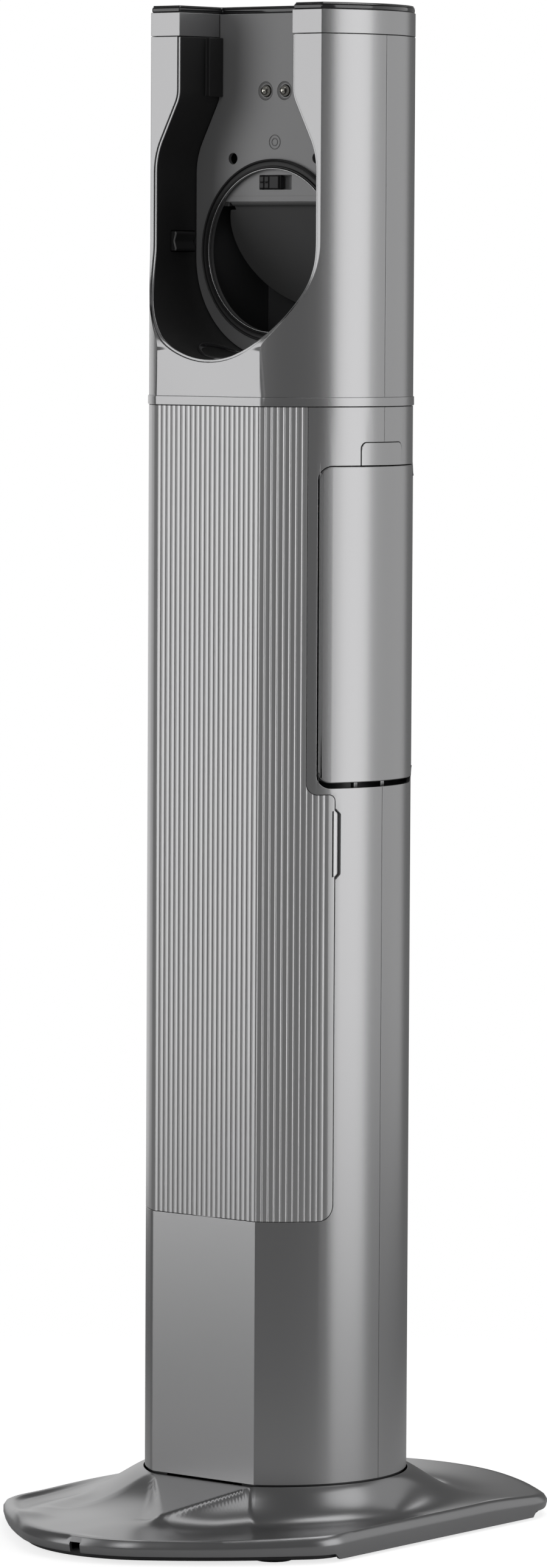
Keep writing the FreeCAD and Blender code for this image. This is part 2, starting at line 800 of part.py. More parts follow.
def build_head():
    """Head shells, crown, top cap, cradle liner and docking plate."""
    outside = common("head_outside", lean_block("head_lean", 0), rod(
        "head_drum", ("0", "axis_back", "belt_high"), "tower_radius", "head_high - belt_high"))
    inside = common("head_inside", lean_block("head_lean_in", size("wall")), rod(
        "head_drum_in", ("0", "axis_back", "0"), "tower_radius - wall", "cap_high"))
    wall = cut("head_wall", outside, inside)
    mouth = cradle_prism("head_mouth", size("cradle_wall"), "-150", "axis_back")
    front = common("head_front_half", wall, front_half("head_front_side"))
    node("head_front_shell", cut("head_front_shell", front, mouth))
    node("head_rear_shell", common("head_rear_shell", wall, rear_half("head_rear_side")))

    depth = "plate_front + plate_thick"
    outer = cradle_prism("liner_outer", size("cradle_wall"), "-100", depth)
    inner = cradle_prism("liner_inner", 0, "-120", "plate_front + 20")
    inset = common("liner_limit", lean_block("liner_lean", 0.8), rod(
        "liner_drum", ("0", "axis_back", "0"), "tower_radius - 0.8", "cap_high"))
    tube = cut("liner_tube", common("liner_slice", outer, inset), inner)
    steps = []
    for name, left, right in (("left", "-neck_half - 0.5", "-neck_half + step_width"),
                              ("right", "neck_half - step_width", "neck_half + 0.5")):
        steps.append(block(f"{name}_step", (left, "plate_front - step_depth", "shoulder_high + 1"),
                           (right, "plate_front", "head_high")))
    windows = [block(f"{name}_clamp_window", (left, "clamp_front - clearance", "clamp_low - clearance"),
                     (right, "clamp_back + clearance", "clamp_high + clearance"))
               for name, left, right in (("left", "-80", "-50"), ("right", "50", "80"))]
    node("cradle_liner", cut("cradle_liner", fuse("liner_with_steps", tube, *steps), *windows))

    ports = [
        rod("port_hole", ("0", "-30", "port_centre"), "seal_inner", "60", ALONG_Y),
        rod("left_contact_hole", ("-contact_half", "-30", "contact_level"), "contact_ring", "60", ALONG_Y),
        rod("right_contact_hole", ("contact_half", "-30", "contact_level"), "contact_ring", "60", ALONG_Y),
    ]
    for name, across in (("left", "-locating_x"), ("right", "locating_x")):
        ports.append(rod(f"{name}_locating_hole", (across, "-30", "locating_level"), "locating_radius", "60",
                         ALONG_Y))
    face = cradle_prism("plate_slab", -0.3, "plate_front", depth, "crown_high")
    node("dock_plate", cut("dock_plate", face, *ports))

    build_crown()


def crown_section(name, low, high, inset):
    """Slice of the crown with the cradle's open neck, drawn in by an inset."""
    drum = Part.makeCylinder(size("tower_radius"), 1, Vector(0, size("axis_back"), 0))
    reach = 2 * size("tower_radius")
    keep = Part.makeBox(2 * reach, reach + size("head_flat"), 1,
                        Vector(-reach, size("axis_back") - size("head_flat"), 0))
    neck = Part.makeBox(2 * size("neck_half"), reach, 1,
                        Vector(-size("neck_half"), sum_of("plate_front + plate_thick") - reach, 0))
    solid = drum.common(keep).cut(neck)
    face = min(solid.Faces, key=lambda item: item.CenterOfMass.z)
    if inset:
        face = face.makeOffset2D(-inset)
    slab = face.extrude(Vector(0, 0, sum_of(high) - sum_of(low)))
    slab.translate(Vector(0, 0, sum_of(low) - face.CenterOfMass.z))
    return shaped(name, slab)


def build_crown():
    """Crown band, dark top cap, start button and status lens."""
    band = crown_section("crown_outside", "crown_low", "crown_high", 0)
    hollow = crown_section("crown_inside", "crown_low - 1", "crown_high + 1", size("wall"))
    node("crown_band", cut("crown_band", band, hollow))
    lid = crown_section("cap_lid", "crown_high", "cap_high - 1.2", 0.5)
    top = crown_section("cap_top", "cap_high - 1.2", "cap_high", 1.4)
    well = rod("button_well", ("0", "button_y", "crown_high - 1"), "button_radius + 0.3", "20")
    slit = block("lens_slit", ("-lens_half", "button_y - lens_near", "crown_high - 1"),
                 ("lens_half", "button_y - lens_far", "cap_high + 1"))
    node("top_cap", cut("top_cap", fuse("cap_block", lid, top), well, slit))
    node("start_button", turned("start_button", [
        ("0", "crown_high - 4"), ("button_radius - 3", "crown_high - 4"),
        ("button_radius - 3", "crown_high - 1"), ("button_radius", "crown_high - 1"),
        ("button_radius", "cap_high - 0.8"), ("button_radius - 1", "cap_high - 0.2"),
        ("0", "cap_high - 0.5")], ("0", "button_y", "0")))
    node("status_lens", block("status_lens", ("0.1 - lens_half", "button_y - lens_near + 0.1", "crown_high"),
                              ("lens_half - 0.1", "button_y - lens_far - 0.1", "cap_high - 0.2")))
    node("control_board", block("control_board", ("-board_half", "button_y - lens_near - 4", "crown_low + 3"),
                                ("board_half", "button_y + lens_near", "crown_low + 3 + board_thick")))


def build_port():
    """Seal, hinged flap, unlocking slider and duct of the dust port."""
    ring = turned("seal_ring", [
        ("seal_inner", "0"), ("seal_outer", "0"), ("seal_outer", "seal_stand - 1"),
        ("seal_outer - 1", "seal_stand"),
        ("seal_outer - 2", "seal_stand - 1.5"), ("seal_inner + 1.6", "seal_stand - 1.5"),
        ("seal_inner + 0.8", "seal_stand"), ("seal_inner", "seal_stand - 1")],
        ("0", "plate_front", "port_centre"), Rotation(X_AXIS, 90))
    notch = block("seal_notch", ("-seal_notch_half", "-30", "0"), ("seal_notch_half", "30", "port_centre"))
    node("port_seal", cut("port_seal", ring, notch))

    disc = rod("bridge_disc", ("0", "plate_front + 1", "port_centre"), "seal_inner", "plate_thick", ALONG_Y)
    below = block("bridge_below", ("-100", "-50", "0"),
                  ("100", "50", "flap_hinge_level + flap_barrel + clearance"))
    slot = block("bridge_slot", ("-slot_half", "-50", "slot_low"), ("slot_half", "50", "slot_high"))
    node("port_bridge", cut("port_bridge", disc, below, slot))
    cap = block("slider_cap", ("-slot_half + 0.3", "plate_front - 1", "slot_low + 0.3"),
                ("-slot_half + slider_long", "plate_front + plate_thick + 1", "slot_high - 0.3"))
    heel = block("slider_heel", ("-slot_half + 3", "plate_front + plate_thick + 1", "slot_low - 3"),
                 ("-slot_half + slider_long - 3", "plate_front + plate_thick + 3.5", "slot_high + 3"))
    node("port_slider", fuse("port_slider", cap, heel))

    build_flap()

    box = block("duct_box", ("-duct_half", "plate_front + plate_thick", "duct_low"),
                ("duct_half", "duct_back", "duct_high"))
    room = block("duct_room", ("-duct_half + duct_wall", "plate_front", "duct_low + duct_wall"),
                 ("duct_half - duct_wall", "duct_back - duct_wall", "duct_high - duct_wall"))
    drain = rod("duct_drain", ("0", "duct_y", "duct_low - 5"), "tube_bore", "20")
    corners = tower_block("duct_limit", "tower_radius - wall - 1", "body_flat", "belt_high", "head_high")
    node("port_duct", common("port_duct", cut("duct_hollow", box, room, drain), corners))
    pipe = rod("suction_pipe_outside", ("0", "duct_y", "holder_high"), "tube_radius", "duct_low - holder_high")
    bore = rod("suction_pipe_bore", ("0", "duct_y", "holder_high - 1"), "tube_bore", "duct_low")
    node("suction_pipe", cut("suction_pipe", pipe, bore))


def build_flap():
    """Flap that hangs open behind the port, and its pin."""
    hinge = Vector(0, size("flap_hinge_y"), size("flap_hinge_level"))
    shutter = Part.makeCylinder(size("port_radius") - 1.5, size("flap_thick"),
                                Vector(0, hinge.y, size("port_centre")), Y_AXIS)
    keep = Part.makeBox(200, 50, 200, Vector(-100, hinge.y - 1, hinge.z - 200))
    barrel = Part.makeCylinder(size("flap_barrel"), 2 * size("flap_half"),
                               Vector(-size("flap_half"), hinge.y, hinge.z), X_AXIS)
    bore = Part.makeCylinder(sum_of("flap_pin_radius + running_fit"), 200,
                             Vector(-100, hinge.y, hinge.z), X_AXIS)
    ribs = Part.makeBox(4, 6, 60, Vector(-2, hinge.y + size("flap_thick"), hinge.z - 66))
    trims = [Part.makeBox(50, 50, 10, Vector(across, hinge.y - 10, hinge.z - 7))
             for across in (size("flap_half") + 1, -size("flap_half") - 51)]
    flap = shutter.common(keep).cut(trims).fuse([barrel, ribs]).cut(bore)
    flap.rotate(hinge, X_AXIS, size("flap_open"))
    node("port_flap", shaped("port_flap", flap.removeSplitter()))
    far = "flap_half + flap_side_gap + ear_thick"
    near = "flap_half + flap_side_gap"
    pin = rod("flap_pin", (f"-({far})", "flap_hinge_y", "flap_hinge_level"), "flap_pin_radius",
              f"2 * ({far})", ALONG_X)
    ears = []
    for name, left, right in (("left", f"-({far})", f"-({near})"), ("right", near, far)):
        ear = block(f"{name}_ear", (left, "plate_front + plate_thick", "flap_hinge_level - 3"),
                    (right, "flap_hinge_y + 3", "flap_hinge_level + flap_barrel + clearance"))
        bore = rod(f"{name}_ear_bore", (left, "flap_hinge_y", "flap_hinge_level"), "flap_pin_radius",
                   "ear_thick", ALONG_X)
        ears.append(cut(f"{name}_ear_bored", ear, bore))
    node("flap_hinge", compound("flap_hinge", [pin, *ears]))


def build_contacts():
    """Two sprung charging pins and the block that guides them."""
    back = "plate_front + plate_thick"
    tray = block("contact_tray", ("-contact_half - 9", back, "contact_level - 9"),
                 ("contact_half + 9", f"{back} + 14", "contact_level + 9"))
    tools = []
    rings = []
    for side, across in (("left", "-contact_half"), ("right", "contact_half")):
        tools.append(rod(f"{side}_contact_bore", (across, "plate_front - 5", "contact_level"),
                         "contact_ball + running_fit", "18.5", ALONG_Y))
        ring = turned(f"{side}_contact_ring", [
            ("contact_ball + 0.5", "0"), ("contact_ring - 0.1", "0"), ("contact_ring - 0.1", "plate_thick"),
            ("contact_ball + 1.5", "plate_thick - 1"), ("contact_ball + 0.5", "plate_thick - 1")],
            (across, back, "contact_level"), Rotation(X_AXIS, 90))
        rings.append(ring)
        pin = turned(f"{side}_contact", [
            ("0", "-8"), ("contact_ball", "-8"), ("contact_ball", "3"), ("contact_ball - 1.1", "5.4"),
            ("0", "6.4")],
            (across, back, "contact_level"), Rotation(X_AXIS, 90))
        node(f"{side}_contact", pin)
    node("contact_block", cut("contact_block", tray, *tools))
    node("contact_rings", compound("contact_rings", rings))


def build_clamps():
    """Pads that close on the cleaner from both sides, and their guides."""
    guides = []
    for side, sign in (("left", -1), ("right", 1)):
        corners = [("clamp_tail", "clamp_front"), ("clamp_tail", "clamp_back"),
                   ("clamp_tip + 3", "clamp_back"), ("clamp_tip", "clamp_back - 8"),
                   ("clamp_tip", "clamp_front + 8"), ("clamp_tip + 3", "clamp_front")]
        if sign < 0:
            corners = [("-" + across if "+" not in across else "-clamp_tip - 3", along)
                       for across, along in reversed(corners)]
        pad = plate(f"{side}_clamp", corners, "clamp_high - clamp_low", ("0", "0", "clamp_low"))
        node(f"{side}_clamp", pad)
        inner = "cradle_half + cradle_wall"
        left, right = (inner, "clamp_tail + 3") if sign > 0 else ("-clamp_tail - 3", f"-({inner})")
        guide = block(f"{side}_guide_block", (left, "clamp_front - 3", "clamp_low - 3"),
                      (right, "clamp_back + 3", "clamp_high + 3"))
        channel = block(f"{side}_guide_channel",
                        (f"({left}) - 1", "clamp_front - clearance", "clamp_low - clearance"),
                        (f"({right}) + 1", "clamp_back + clearance", "clamp_high + clearance"))
        guides.append(cut(f"{side}_clamp_guide", guide, channel))
    node("clamp_guides", compound("clamp_guides", guides))


def build_storage():
    """Ribbed door, its pins, the bay behind it and the posts for accessories."""
    outside = tower_block("door_outside", "tower_radius", "body_flat", "door_low", "door_high")
    inside = tower_block("door_inside", "tower_radius - door_thick", "body_flat - door_thick", "0", "cap_high")
    skin = cut("door_ring", outside, inside)
    axis = at_angle(size("door_hinge_angle"), size("tower_radius") - size("door_hinge_inset"))
    place = (f"{axis.x:.4f}", f"{axis.y:.4f}")
    barrel = rod("door_barrel", (*place, "door_low"), "door_barrel", "door_high - door_low")
    bore = "door_pin_radius + running_fit"
    bores = [rod("door_bore_low", (*place, "door_low - 1"), bore, "door_pin_grip + 2"),
             rod("door_bore_high", (*place, "door_high - door_pin_grip - 1"), bore, "20")]
    panel = common("door_panel", skin, door_window("door_reach", 0, 0))
    node("storage_door", cut("storage_door", fuse("door_with_barrel", panel, barrel), *bores))
    pins = [rod("door_pin_low", (*place, "lower_deck_low + deck_thick"), "door_pin_radius",
                "door_low - lower_deck_low - deck_thick + door_pin_grip"),
            rod("door_pin_high", (*place, "door_high - door_pin_grip"), "door_pin_radius",
                "head_deck_low - door_high + door_pin_grip")]
    node("door_pins", compound("door_pins", pins))
    build_bay()


def build_bay():
    """Tray behind the storage door: deep below, shallow beside the dust bag."""
    trays = []
    rooms = []
    for name, back, floor, roof in (
            ("low", "bay_back", "lower_deck_low + deck_thick + 2", "bag_deck_low - 2"),
            ("high", "bay_back_high", "bag_deck_low - 4", "head_deck_low - 3")):
        tray = tower_block(f"bay_{name}_outside", "tower_radius - door_thick - bay_gap",
                           "body_flat - door_thick - bay_gap", floor, roof)
        cap = block(f"bay_{name}_limit", ("-bay_half", "-100", "0"), ("bay_half", back, "cap_high"))
        trays.append(common(f"bay_{name}_tray", tray, cap))
        rooms.append(block(f"bay_{name}_room", ("bay_wall - bay_half", "-100", f"{floor} + bay_wall"),
                           ("bay_half - bay_wall", f"{back} - bay_wall", f"{roof} - bay_wall")))
    node("storage_bay", cut("storage_bay", fuse("bay_trays", *trays), *rooms))

    posts = []
    for number, level in enumerate((270, 350, 430)):
        section = [("0", "0"), ("12", "0"), ("10.5", "22"), ("9", "24"), ("0", "24")]
        posts.append(turned(f"post_{number}", section, ("0", "bay_back - bay_wall", f"{level}"),
                            Rotation(X_AXIS, 90)))
    for number, level in enumerate((540, 640)):
        section = [("0", "0"), ("9", "0"), ("8", "14"), ("0", "14")]
        posts.append(turned(f"clip_{number}", section, ("0", "bay_back_high - bay_wall", f"{level}"),
                            Rotation(X_AXIS, 90)))
    node("accessory_posts", compound("accessory_posts", posts))
    magnets = [block(f"magnet_{number}", ("bay_half + clearance", "-20", f"{level}"),
                     ("bay_half + 4", "-10", f"{level} + magnet_long"))
               for number, level in enumerate((260, 400))]
    node("door_magnets", compound("door_magnets", magnets))


def build_cover():
    """Dust bag cover with its hinge arms, the latch button and the hinge."""
    outside = rod("cover_outside", ("0", "axis_back", "cover_low"), "tower_radius + cover_proud",
                  "cover_high - cover_low")
    inside = rod("cover_inside", ("0", "axis_back", "0"), "tower_radius + cover_proud - cover_thick",
                 "cap_high")
    window = cover_window("cover_window", 0)
    arms = []
    bores = []
    for name, along in (("front", "axis_back - cover_arm_offset - cover_arm_width"),
                        ("rear", "axis_back + cover_arm_offset")):
        end = f"{along} + cover_arm_width"
        arms.append(block(f"{name}_arm", ("cover_axis_x - 5", along, "cover_axis_z - 1"),
                          ("cover_axis_x - 2", end, "cover_low + 6.2")))
        arms.append(block(f"{name}_arm_top", ("cover_axis_x - 5", along, "cover_low + 3"),
                          ("tower_radius - 2", end, "cover_low + 6.2")))
        arms.append(rod(f"{name}_knuckle", ("cover_axis_x", along, "cover_axis_z"), "cover_barrel",
                        "cover_arm_width", ALONG_Y))
        bores.append(rod(f"{name}_knuckle_bore", ("cover_axis_x", f"{along} - 1", "cover_axis_z"),
                         "cover_pin_radius + running_fit", "cover_arm_width + 2", ALONG_Y))
    reach = sector("cover_reach", "cover_start", "cover_end", "cover_low", "cover_high")
    panel = common("cover_panel", cut("cover_ring", outside, inside), window, reach)
    node("dust_cover", cut("dust_cover", fuse("cover_with_arms", panel, *arms), *bores))

    pin = rod("cover_hinge_pin", ("cover_axis_x", "axis_back - cover_pin_half", "cover_axis_z"),
              "cover_pin_radius", "2 * cover_pin_half", ALONG_Y)
    node("cover_hinge_pin", pin)
    lugs = []
    for name, start in (("front", "axis_back - cover_pin_half"),
                        ("rear", "axis_back + cover_pin_half - cover_arm_width")):
        lug = block(f"{name}_lug", ("cover_axis_x - cover_lug_half", start, "bag_deck_low + deck_thick"),
                    ("cover_axis_x + cover_lug_half", f"{start} + cover_arm_width", "cover_axis_z + 3"))
        bore = rod(f"{name}_lug_bore", ("cover_axis_x", f"{start} - 1", "cover_axis_z"), "cover_pin_radius",
                   "cover_arm_width + 2", ALONG_Y)
        lugs.append(cut(f"{name}_lug_bored", lug, bore))
    node("cover_hinge_lugs", compound("cover_hinge_lugs", lugs))

    outside = rod("latch_outside", ("0", "axis_back", "latch_low"), "tower_radius + cover_proud",
                  "latch_high - latch_low")
    inside = rod("latch_inside", ("0", "axis_back", "0"), "tower_radius - wall - 0.6", "cap_high")
    ring = cut("latch_ring", outside, inside)
    face = latch_window("latch_window", 0)
    stem = block("latch_stem", ("latch_stem_in", "axis_back - latch_stem_half", "latch_low + 5"),
                 ("tower_radius - 3", "axis_back + latch_stem_half", "latch_low + 13"))
    node("cover_latch", fuse("cover_latch", common("latch_face", ring, face), stem))
    sleeve = block("latch_sleeve", ("latch_stem_in - 8", "axis_back - latch_stem_half - 3", "chamber_high"),
                   ("tower_radius - 12", "axis_back + latch_stem_half + 3", "latch_high + 2"))
    channel = block(
        "latch_channel",
        ("latch_stem_in - 5", "axis_back - latch_stem_half - clearance", "latch_low + 5 - clearance"),
        ("tower_radius", "axis_back + latch_stem_half + clearance", "latch_low + 13 + clearance"))
    node("latch_guide", cut("latch_guide", sleeve, channel))


def build_dust():
    """Dust bag, its collar and holder, and the chamber round them."""
    drum = rod("chamber_drum", ("0", "axis_back", "chamber_low"), "chamber_radius",
               "chamber_high - chamber_low")
    limit = block("chamber_limit", ("-100", "chamber_front", "0"), ("100", "chamber_back", "cap_high"))
    shell = common("chamber_outside", drum, limit)
    drum = rod("chamber_drum_in", ("0", "axis_back", "chamber_low + 2"), "chamber_radius - 2",
               "chamber_high - chamber_low - 4")
    limit = block("chamber_limit_in", ("-100", "chamber_front + 2", "0"),
                  ("100", "chamber_back - 2", "cap_high"))
    room = common("chamber_inside", drum, limit)
    doorway = block("chamber_doorway", ("20", "axis_back - 36", "chamber_low + 4"),
                    ("100", "axis_back + 36", "chamber_high - 4"))
    inlet = rod("chamber_inlet", ("0", "duct_y", "chamber_high - 10"), "tube_radius", "20")
    outlet = rod("chamber_outlet", ("0", "motor_y", "chamber_low - 5"), "filter_radius - 12", "20")
    node("bag_chamber", cut("bag_chamber", shell, room, doorway, inlet, outlet))

    bag = Part.makeBox(size("bag_right") - size("bag_left"), size("bag_back") - size("bag_front"),
                       size("bag_high") - size("bag_low"),
                       Vector(size("bag_left"), size("bag_front"), size("bag_low")))
    node("dust_bag", shaped("dust_bag", bag.makeFillet(size("bag_round"), bag.Edges)))
    sheet_plate = block("collar_plate", ("-collar_half", "duct_y - collar_half", "bag_high + 0.5"),
                        ("collar_half", "duct_y + collar_half", "bag_high + 3.5"))
    hole = rod("collar_hole", ("0", "duct_y", "bag_high - 1"), "tube_bore", "10")
    node("bag_collar", cut("bag_collar", sheet_plate, hole))
    rails = []
    for name, left, right in (("left", "-collar_half - 4", "-collar_half - 0.5"),
                              ("right", "collar_half + 0.5", "collar_half + 4")):
        rails.append(block(f"{name}_rail", (left, "duct_y - collar_half + 3", "bag_high + 0.5"),
                           (right, "duct_y + collar_half", "holder_low + 3")))
    hood = block("holder_hood", ("-collar_half - 4", "duct_y - collar_half + 3", "holder_low"),
                 ("collar_half + 4", "duct_y + collar_half", "holder_low + 4"))
    spout = rod("holder_spout", ("0", "duct_y", "holder_low"), "tube_radius", "holder_high - holder_low")
    bore = rod("holder_bore", ("0", "duct_y", "holder_low - 5"), "tube_bore", "60")
    node("bag_holder", cut("bag_holder", fuse("holder_block", hood, spout, *rails), bore))


def build_motor():
    """Suction motor: housing, rubber mounts, core, impeller and the filter above it."""
    node("motor_housing", turned("motor_housing", [
        ("core_radius + 4", "motor_low"), ("motor_radius", "motor_low"), ("motor_radius", "motor_high"),
        ("24", "motor_high"), ("24", "motor_high - 3"), ("motor_radius - 3", "motor_high - 3"),
        ("motor_radius - 3", "motor_low + 3"), ("core_radius + 4", "motor_low + 3")], ("0", "motor_y", "0")))
    node("motor_core", turned("motor_core", [
        ("shaft_radius + running_fit", "motor_low - 6"), ("core_radius", "motor_low - 6"),
        ("core_radius", "motor_low - 3"), ("motor_radius - 5", "motor_low - 3"),
        ("motor_radius - 5", "motor_low"),
        ("core_radius", "motor_low"), ("core_radius", "fan_low - 4"),
        ("shaft_radius + running_fit", "fan_low - 4")], ("0", "motor_y", "0")))
    mounts = [turned("mount_low", [
        ("motor_radius - 5", "motor_deck_low + deck_thick"), ("motor_radius", "motor_deck_low + deck_thick"),
        ("motor_radius", "motor_low"), ("motor_radius - 5", "motor_low")], ("0", "motor_y", "0")),
        turned("mount_high", [
            ("motor_radius - 5", "motor_high"), ("motor_radius", "motor_high"),
            ("motor_radius", "filter_low"), ("motor_radius - 5", "filter_low")], ("0", "motor_y", "0"))]
    node("motor_mounts", compound("motor_mounts", mounts))

    hub, section = profile_body("impeller", "XZ_Plane", [
        ("0", "motor_low"), ("shaft_radius", "motor_low"), ("shaft_radius", "fan_low"),
        ("fan_radius", "fan_low"), ("fan_radius", "fan_low + 2"), ("fan_hub", "fan_low + 4"),
        ("fan_hub", "fan_high - 3"), ("0", "fan_high")])
    wheel = hub.newObject("PartDesign::Revolution", "impeller_wheel")
    wheel.Profile = section
    wheel.ReferenceAxis = (section, ["V_Axis"])
    wheel.Angle = 360
    doc.recompute()
    plain = wheel.Shape.Volume
    ground = next(item for item in hub.Origin.OriginFeatures if item.Role == "XY_Plane")
    vane = hub.newObject("Sketcher::SketchObject", "vane_sketch")
    vane.AttachmentSupport = [(ground, "")]
    vane.MapMode = "FlatFace"
    vane.setExpression("AttachmentOffset.Base.z", bound("fan_low + 1"))
    corners = [(size("fan_hub") - 2, -1, 0), (size("fan_radius") - 1, 9, 0),
               (size("fan_radius") - 1.6, 10.6, 0), (size("fan_hub") - 2, 1, 0)]
    vane_points = [Vector(*corner) for corner in corners]
    for number, corner in enumerate(vane_points):
        vane.addGeometry(Part.LineSegment(corner, vane_points[(number + 1) % 4]), False)
    for number in range(4):
        vane.addConstraint(Sketcher.Constraint("Coincident", number, 2, (number + 1) % 4, 1))
    blade = hub.newObject("PartDesign::Pad", "impeller_blade")
    blade.Profile = vane
    blade.setExpression("Length", bound("fan_high - fan_low - 4"))
    doc.recompute()
    ring = hub.newObject("PartDesign::PolarPattern", "impeller_blades")
    ring.Originals = [blade]
    ring.Axis = (section, ["V_Axis"])
    ring.Angle = 360
    ring.setExpression("Occurrences", bound("blade_count"))
    hub.Tip = ring
    place_body(hub, ("0", "motor_y", "0"), None)
    assert hub.Shape.Volume > plain
    node("impeller", hub)

    node("motor_filter", turned("motor_filter", [
        ("0", "filter_low"), ("filter_radius", "filter_low"), ("filter_radius", "filter_high"),
        ("0", "filter_high")], ("0", "motor_y", "0")))


def check_and_export():
    """Stop on any failed object, then write every sub-part."""
    doc.recompute()
    for item in doc.Objects:
        failed = [word for word in item.State if word in ("Invalid", "Error")]
        if failed:
            raise RuntimeError(f"{item.Name} is {failed}")
    os.makedirs("parts", exist_ok=True)
    for item in nodes:
        if item.Shape.isNull() or not item.Shape.isValid():
            raise RuntimeError(f"{item.Label} has no valid shape")
        item.Shape.exportStep(f"parts/{item.Label}.step")
        box = item.Shape.BoundBox
        print(f"{item.Label}: {len(item.Shape.Solids)} solids, {item.Shape.Volume / 1000:.1f} cm3,"
              f" z {box.ZMin:.1f} to {box.ZMax:.1f}")
    print(f"{len(nodes)} nodes")


build_base()
build_tower()
build_head()
build_port()
build_contacts()
build_clamps()
build_storage()
build_cover()
build_dust()
build_motor()
check_and_export()
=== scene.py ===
"""Looks of a docking and emptying tower for a cordless stick vacuum cleaner.

Every sub-assembly is a class with its own sizes. Its methods model the pieces in place over
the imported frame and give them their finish. All lengths are in metres.
"""

import json
import logging
import math
from dataclasses import dataclass, field
from enum import Enum
from typing import Callable, Iterable

import bmesh
import bpy
from mathutils import Matrix, Vector, noise

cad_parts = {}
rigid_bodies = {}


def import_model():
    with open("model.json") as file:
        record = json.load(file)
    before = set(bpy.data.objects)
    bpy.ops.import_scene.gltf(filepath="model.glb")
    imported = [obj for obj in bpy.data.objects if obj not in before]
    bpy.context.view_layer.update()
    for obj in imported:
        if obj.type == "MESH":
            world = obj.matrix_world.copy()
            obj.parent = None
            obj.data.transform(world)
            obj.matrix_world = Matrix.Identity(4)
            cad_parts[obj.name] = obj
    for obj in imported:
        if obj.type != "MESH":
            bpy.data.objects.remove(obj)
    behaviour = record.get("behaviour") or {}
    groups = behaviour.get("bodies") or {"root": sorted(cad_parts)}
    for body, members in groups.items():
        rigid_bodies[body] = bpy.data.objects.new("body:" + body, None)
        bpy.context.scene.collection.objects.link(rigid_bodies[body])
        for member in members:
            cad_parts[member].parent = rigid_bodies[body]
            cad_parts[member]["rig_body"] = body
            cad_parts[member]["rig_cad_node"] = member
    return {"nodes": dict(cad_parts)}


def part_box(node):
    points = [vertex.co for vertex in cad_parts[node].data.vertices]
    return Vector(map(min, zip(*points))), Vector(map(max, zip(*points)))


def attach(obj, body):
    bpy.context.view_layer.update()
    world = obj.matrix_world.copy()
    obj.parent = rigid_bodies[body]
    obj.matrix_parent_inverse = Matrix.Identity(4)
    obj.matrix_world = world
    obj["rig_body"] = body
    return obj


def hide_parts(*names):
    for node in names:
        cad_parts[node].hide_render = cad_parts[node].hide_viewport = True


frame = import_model()
log = logging.getLogger("tower")

MM = 0.001
AXIS = Vector((0.0, 10 * MM, 0.0))
UP = Vector((0.0, 0.0, 1.0))
TOWER_RADIUS = 87 * MM
TOWER_FLAT = 75.56 * MM

Piece = bpy.types.Object
Socket = bpy.types.NodeSocket


class Body(str, Enum):
    """Bodies that the pieces ride on."""

    TOWER = "tower"
    DOOR = "storage_door"
    COVER = "dust_cover"
    LATCH = "cover_latch"
    FLAP = "port_flap"
    SLIDER = "port_slider"
    LEFT_CONTACT = "left_contact"
    RIGHT_CONTACT = "right_contact"
    LEFT_CLAMP = "left_clamp"
    RIGHT_CLAMP = "right_clamp"
    IMPELLER = "impeller"
    BUTTON = "start_button"


class Slot(str, Enum):
    """Material slots of the record."""

    SHELL = "shell_silver"
    DOOR = "door_silver"
    BASE = "base_silver"
    CRADLE = "cradle_black"
    UNDER = "under_grey"
    CAP = "cap_gloss"
    SEAL = "seal_rubber"
    FLAP = "flap_grey"
    INNER = "inner_grey"
    IRON = "ballast_iron"
    CONTACT = "contact_metal"
    FOOT = "foot_rubber"
    FLEECE = "bag_fleece"
    CARD = "card"
    FILTER = "filter_foam"
    COPPER = "copper_core"
    BOARD = "board_green"
    LENS = "lens_clear"


# ---------------------------------------------------------------- node groups


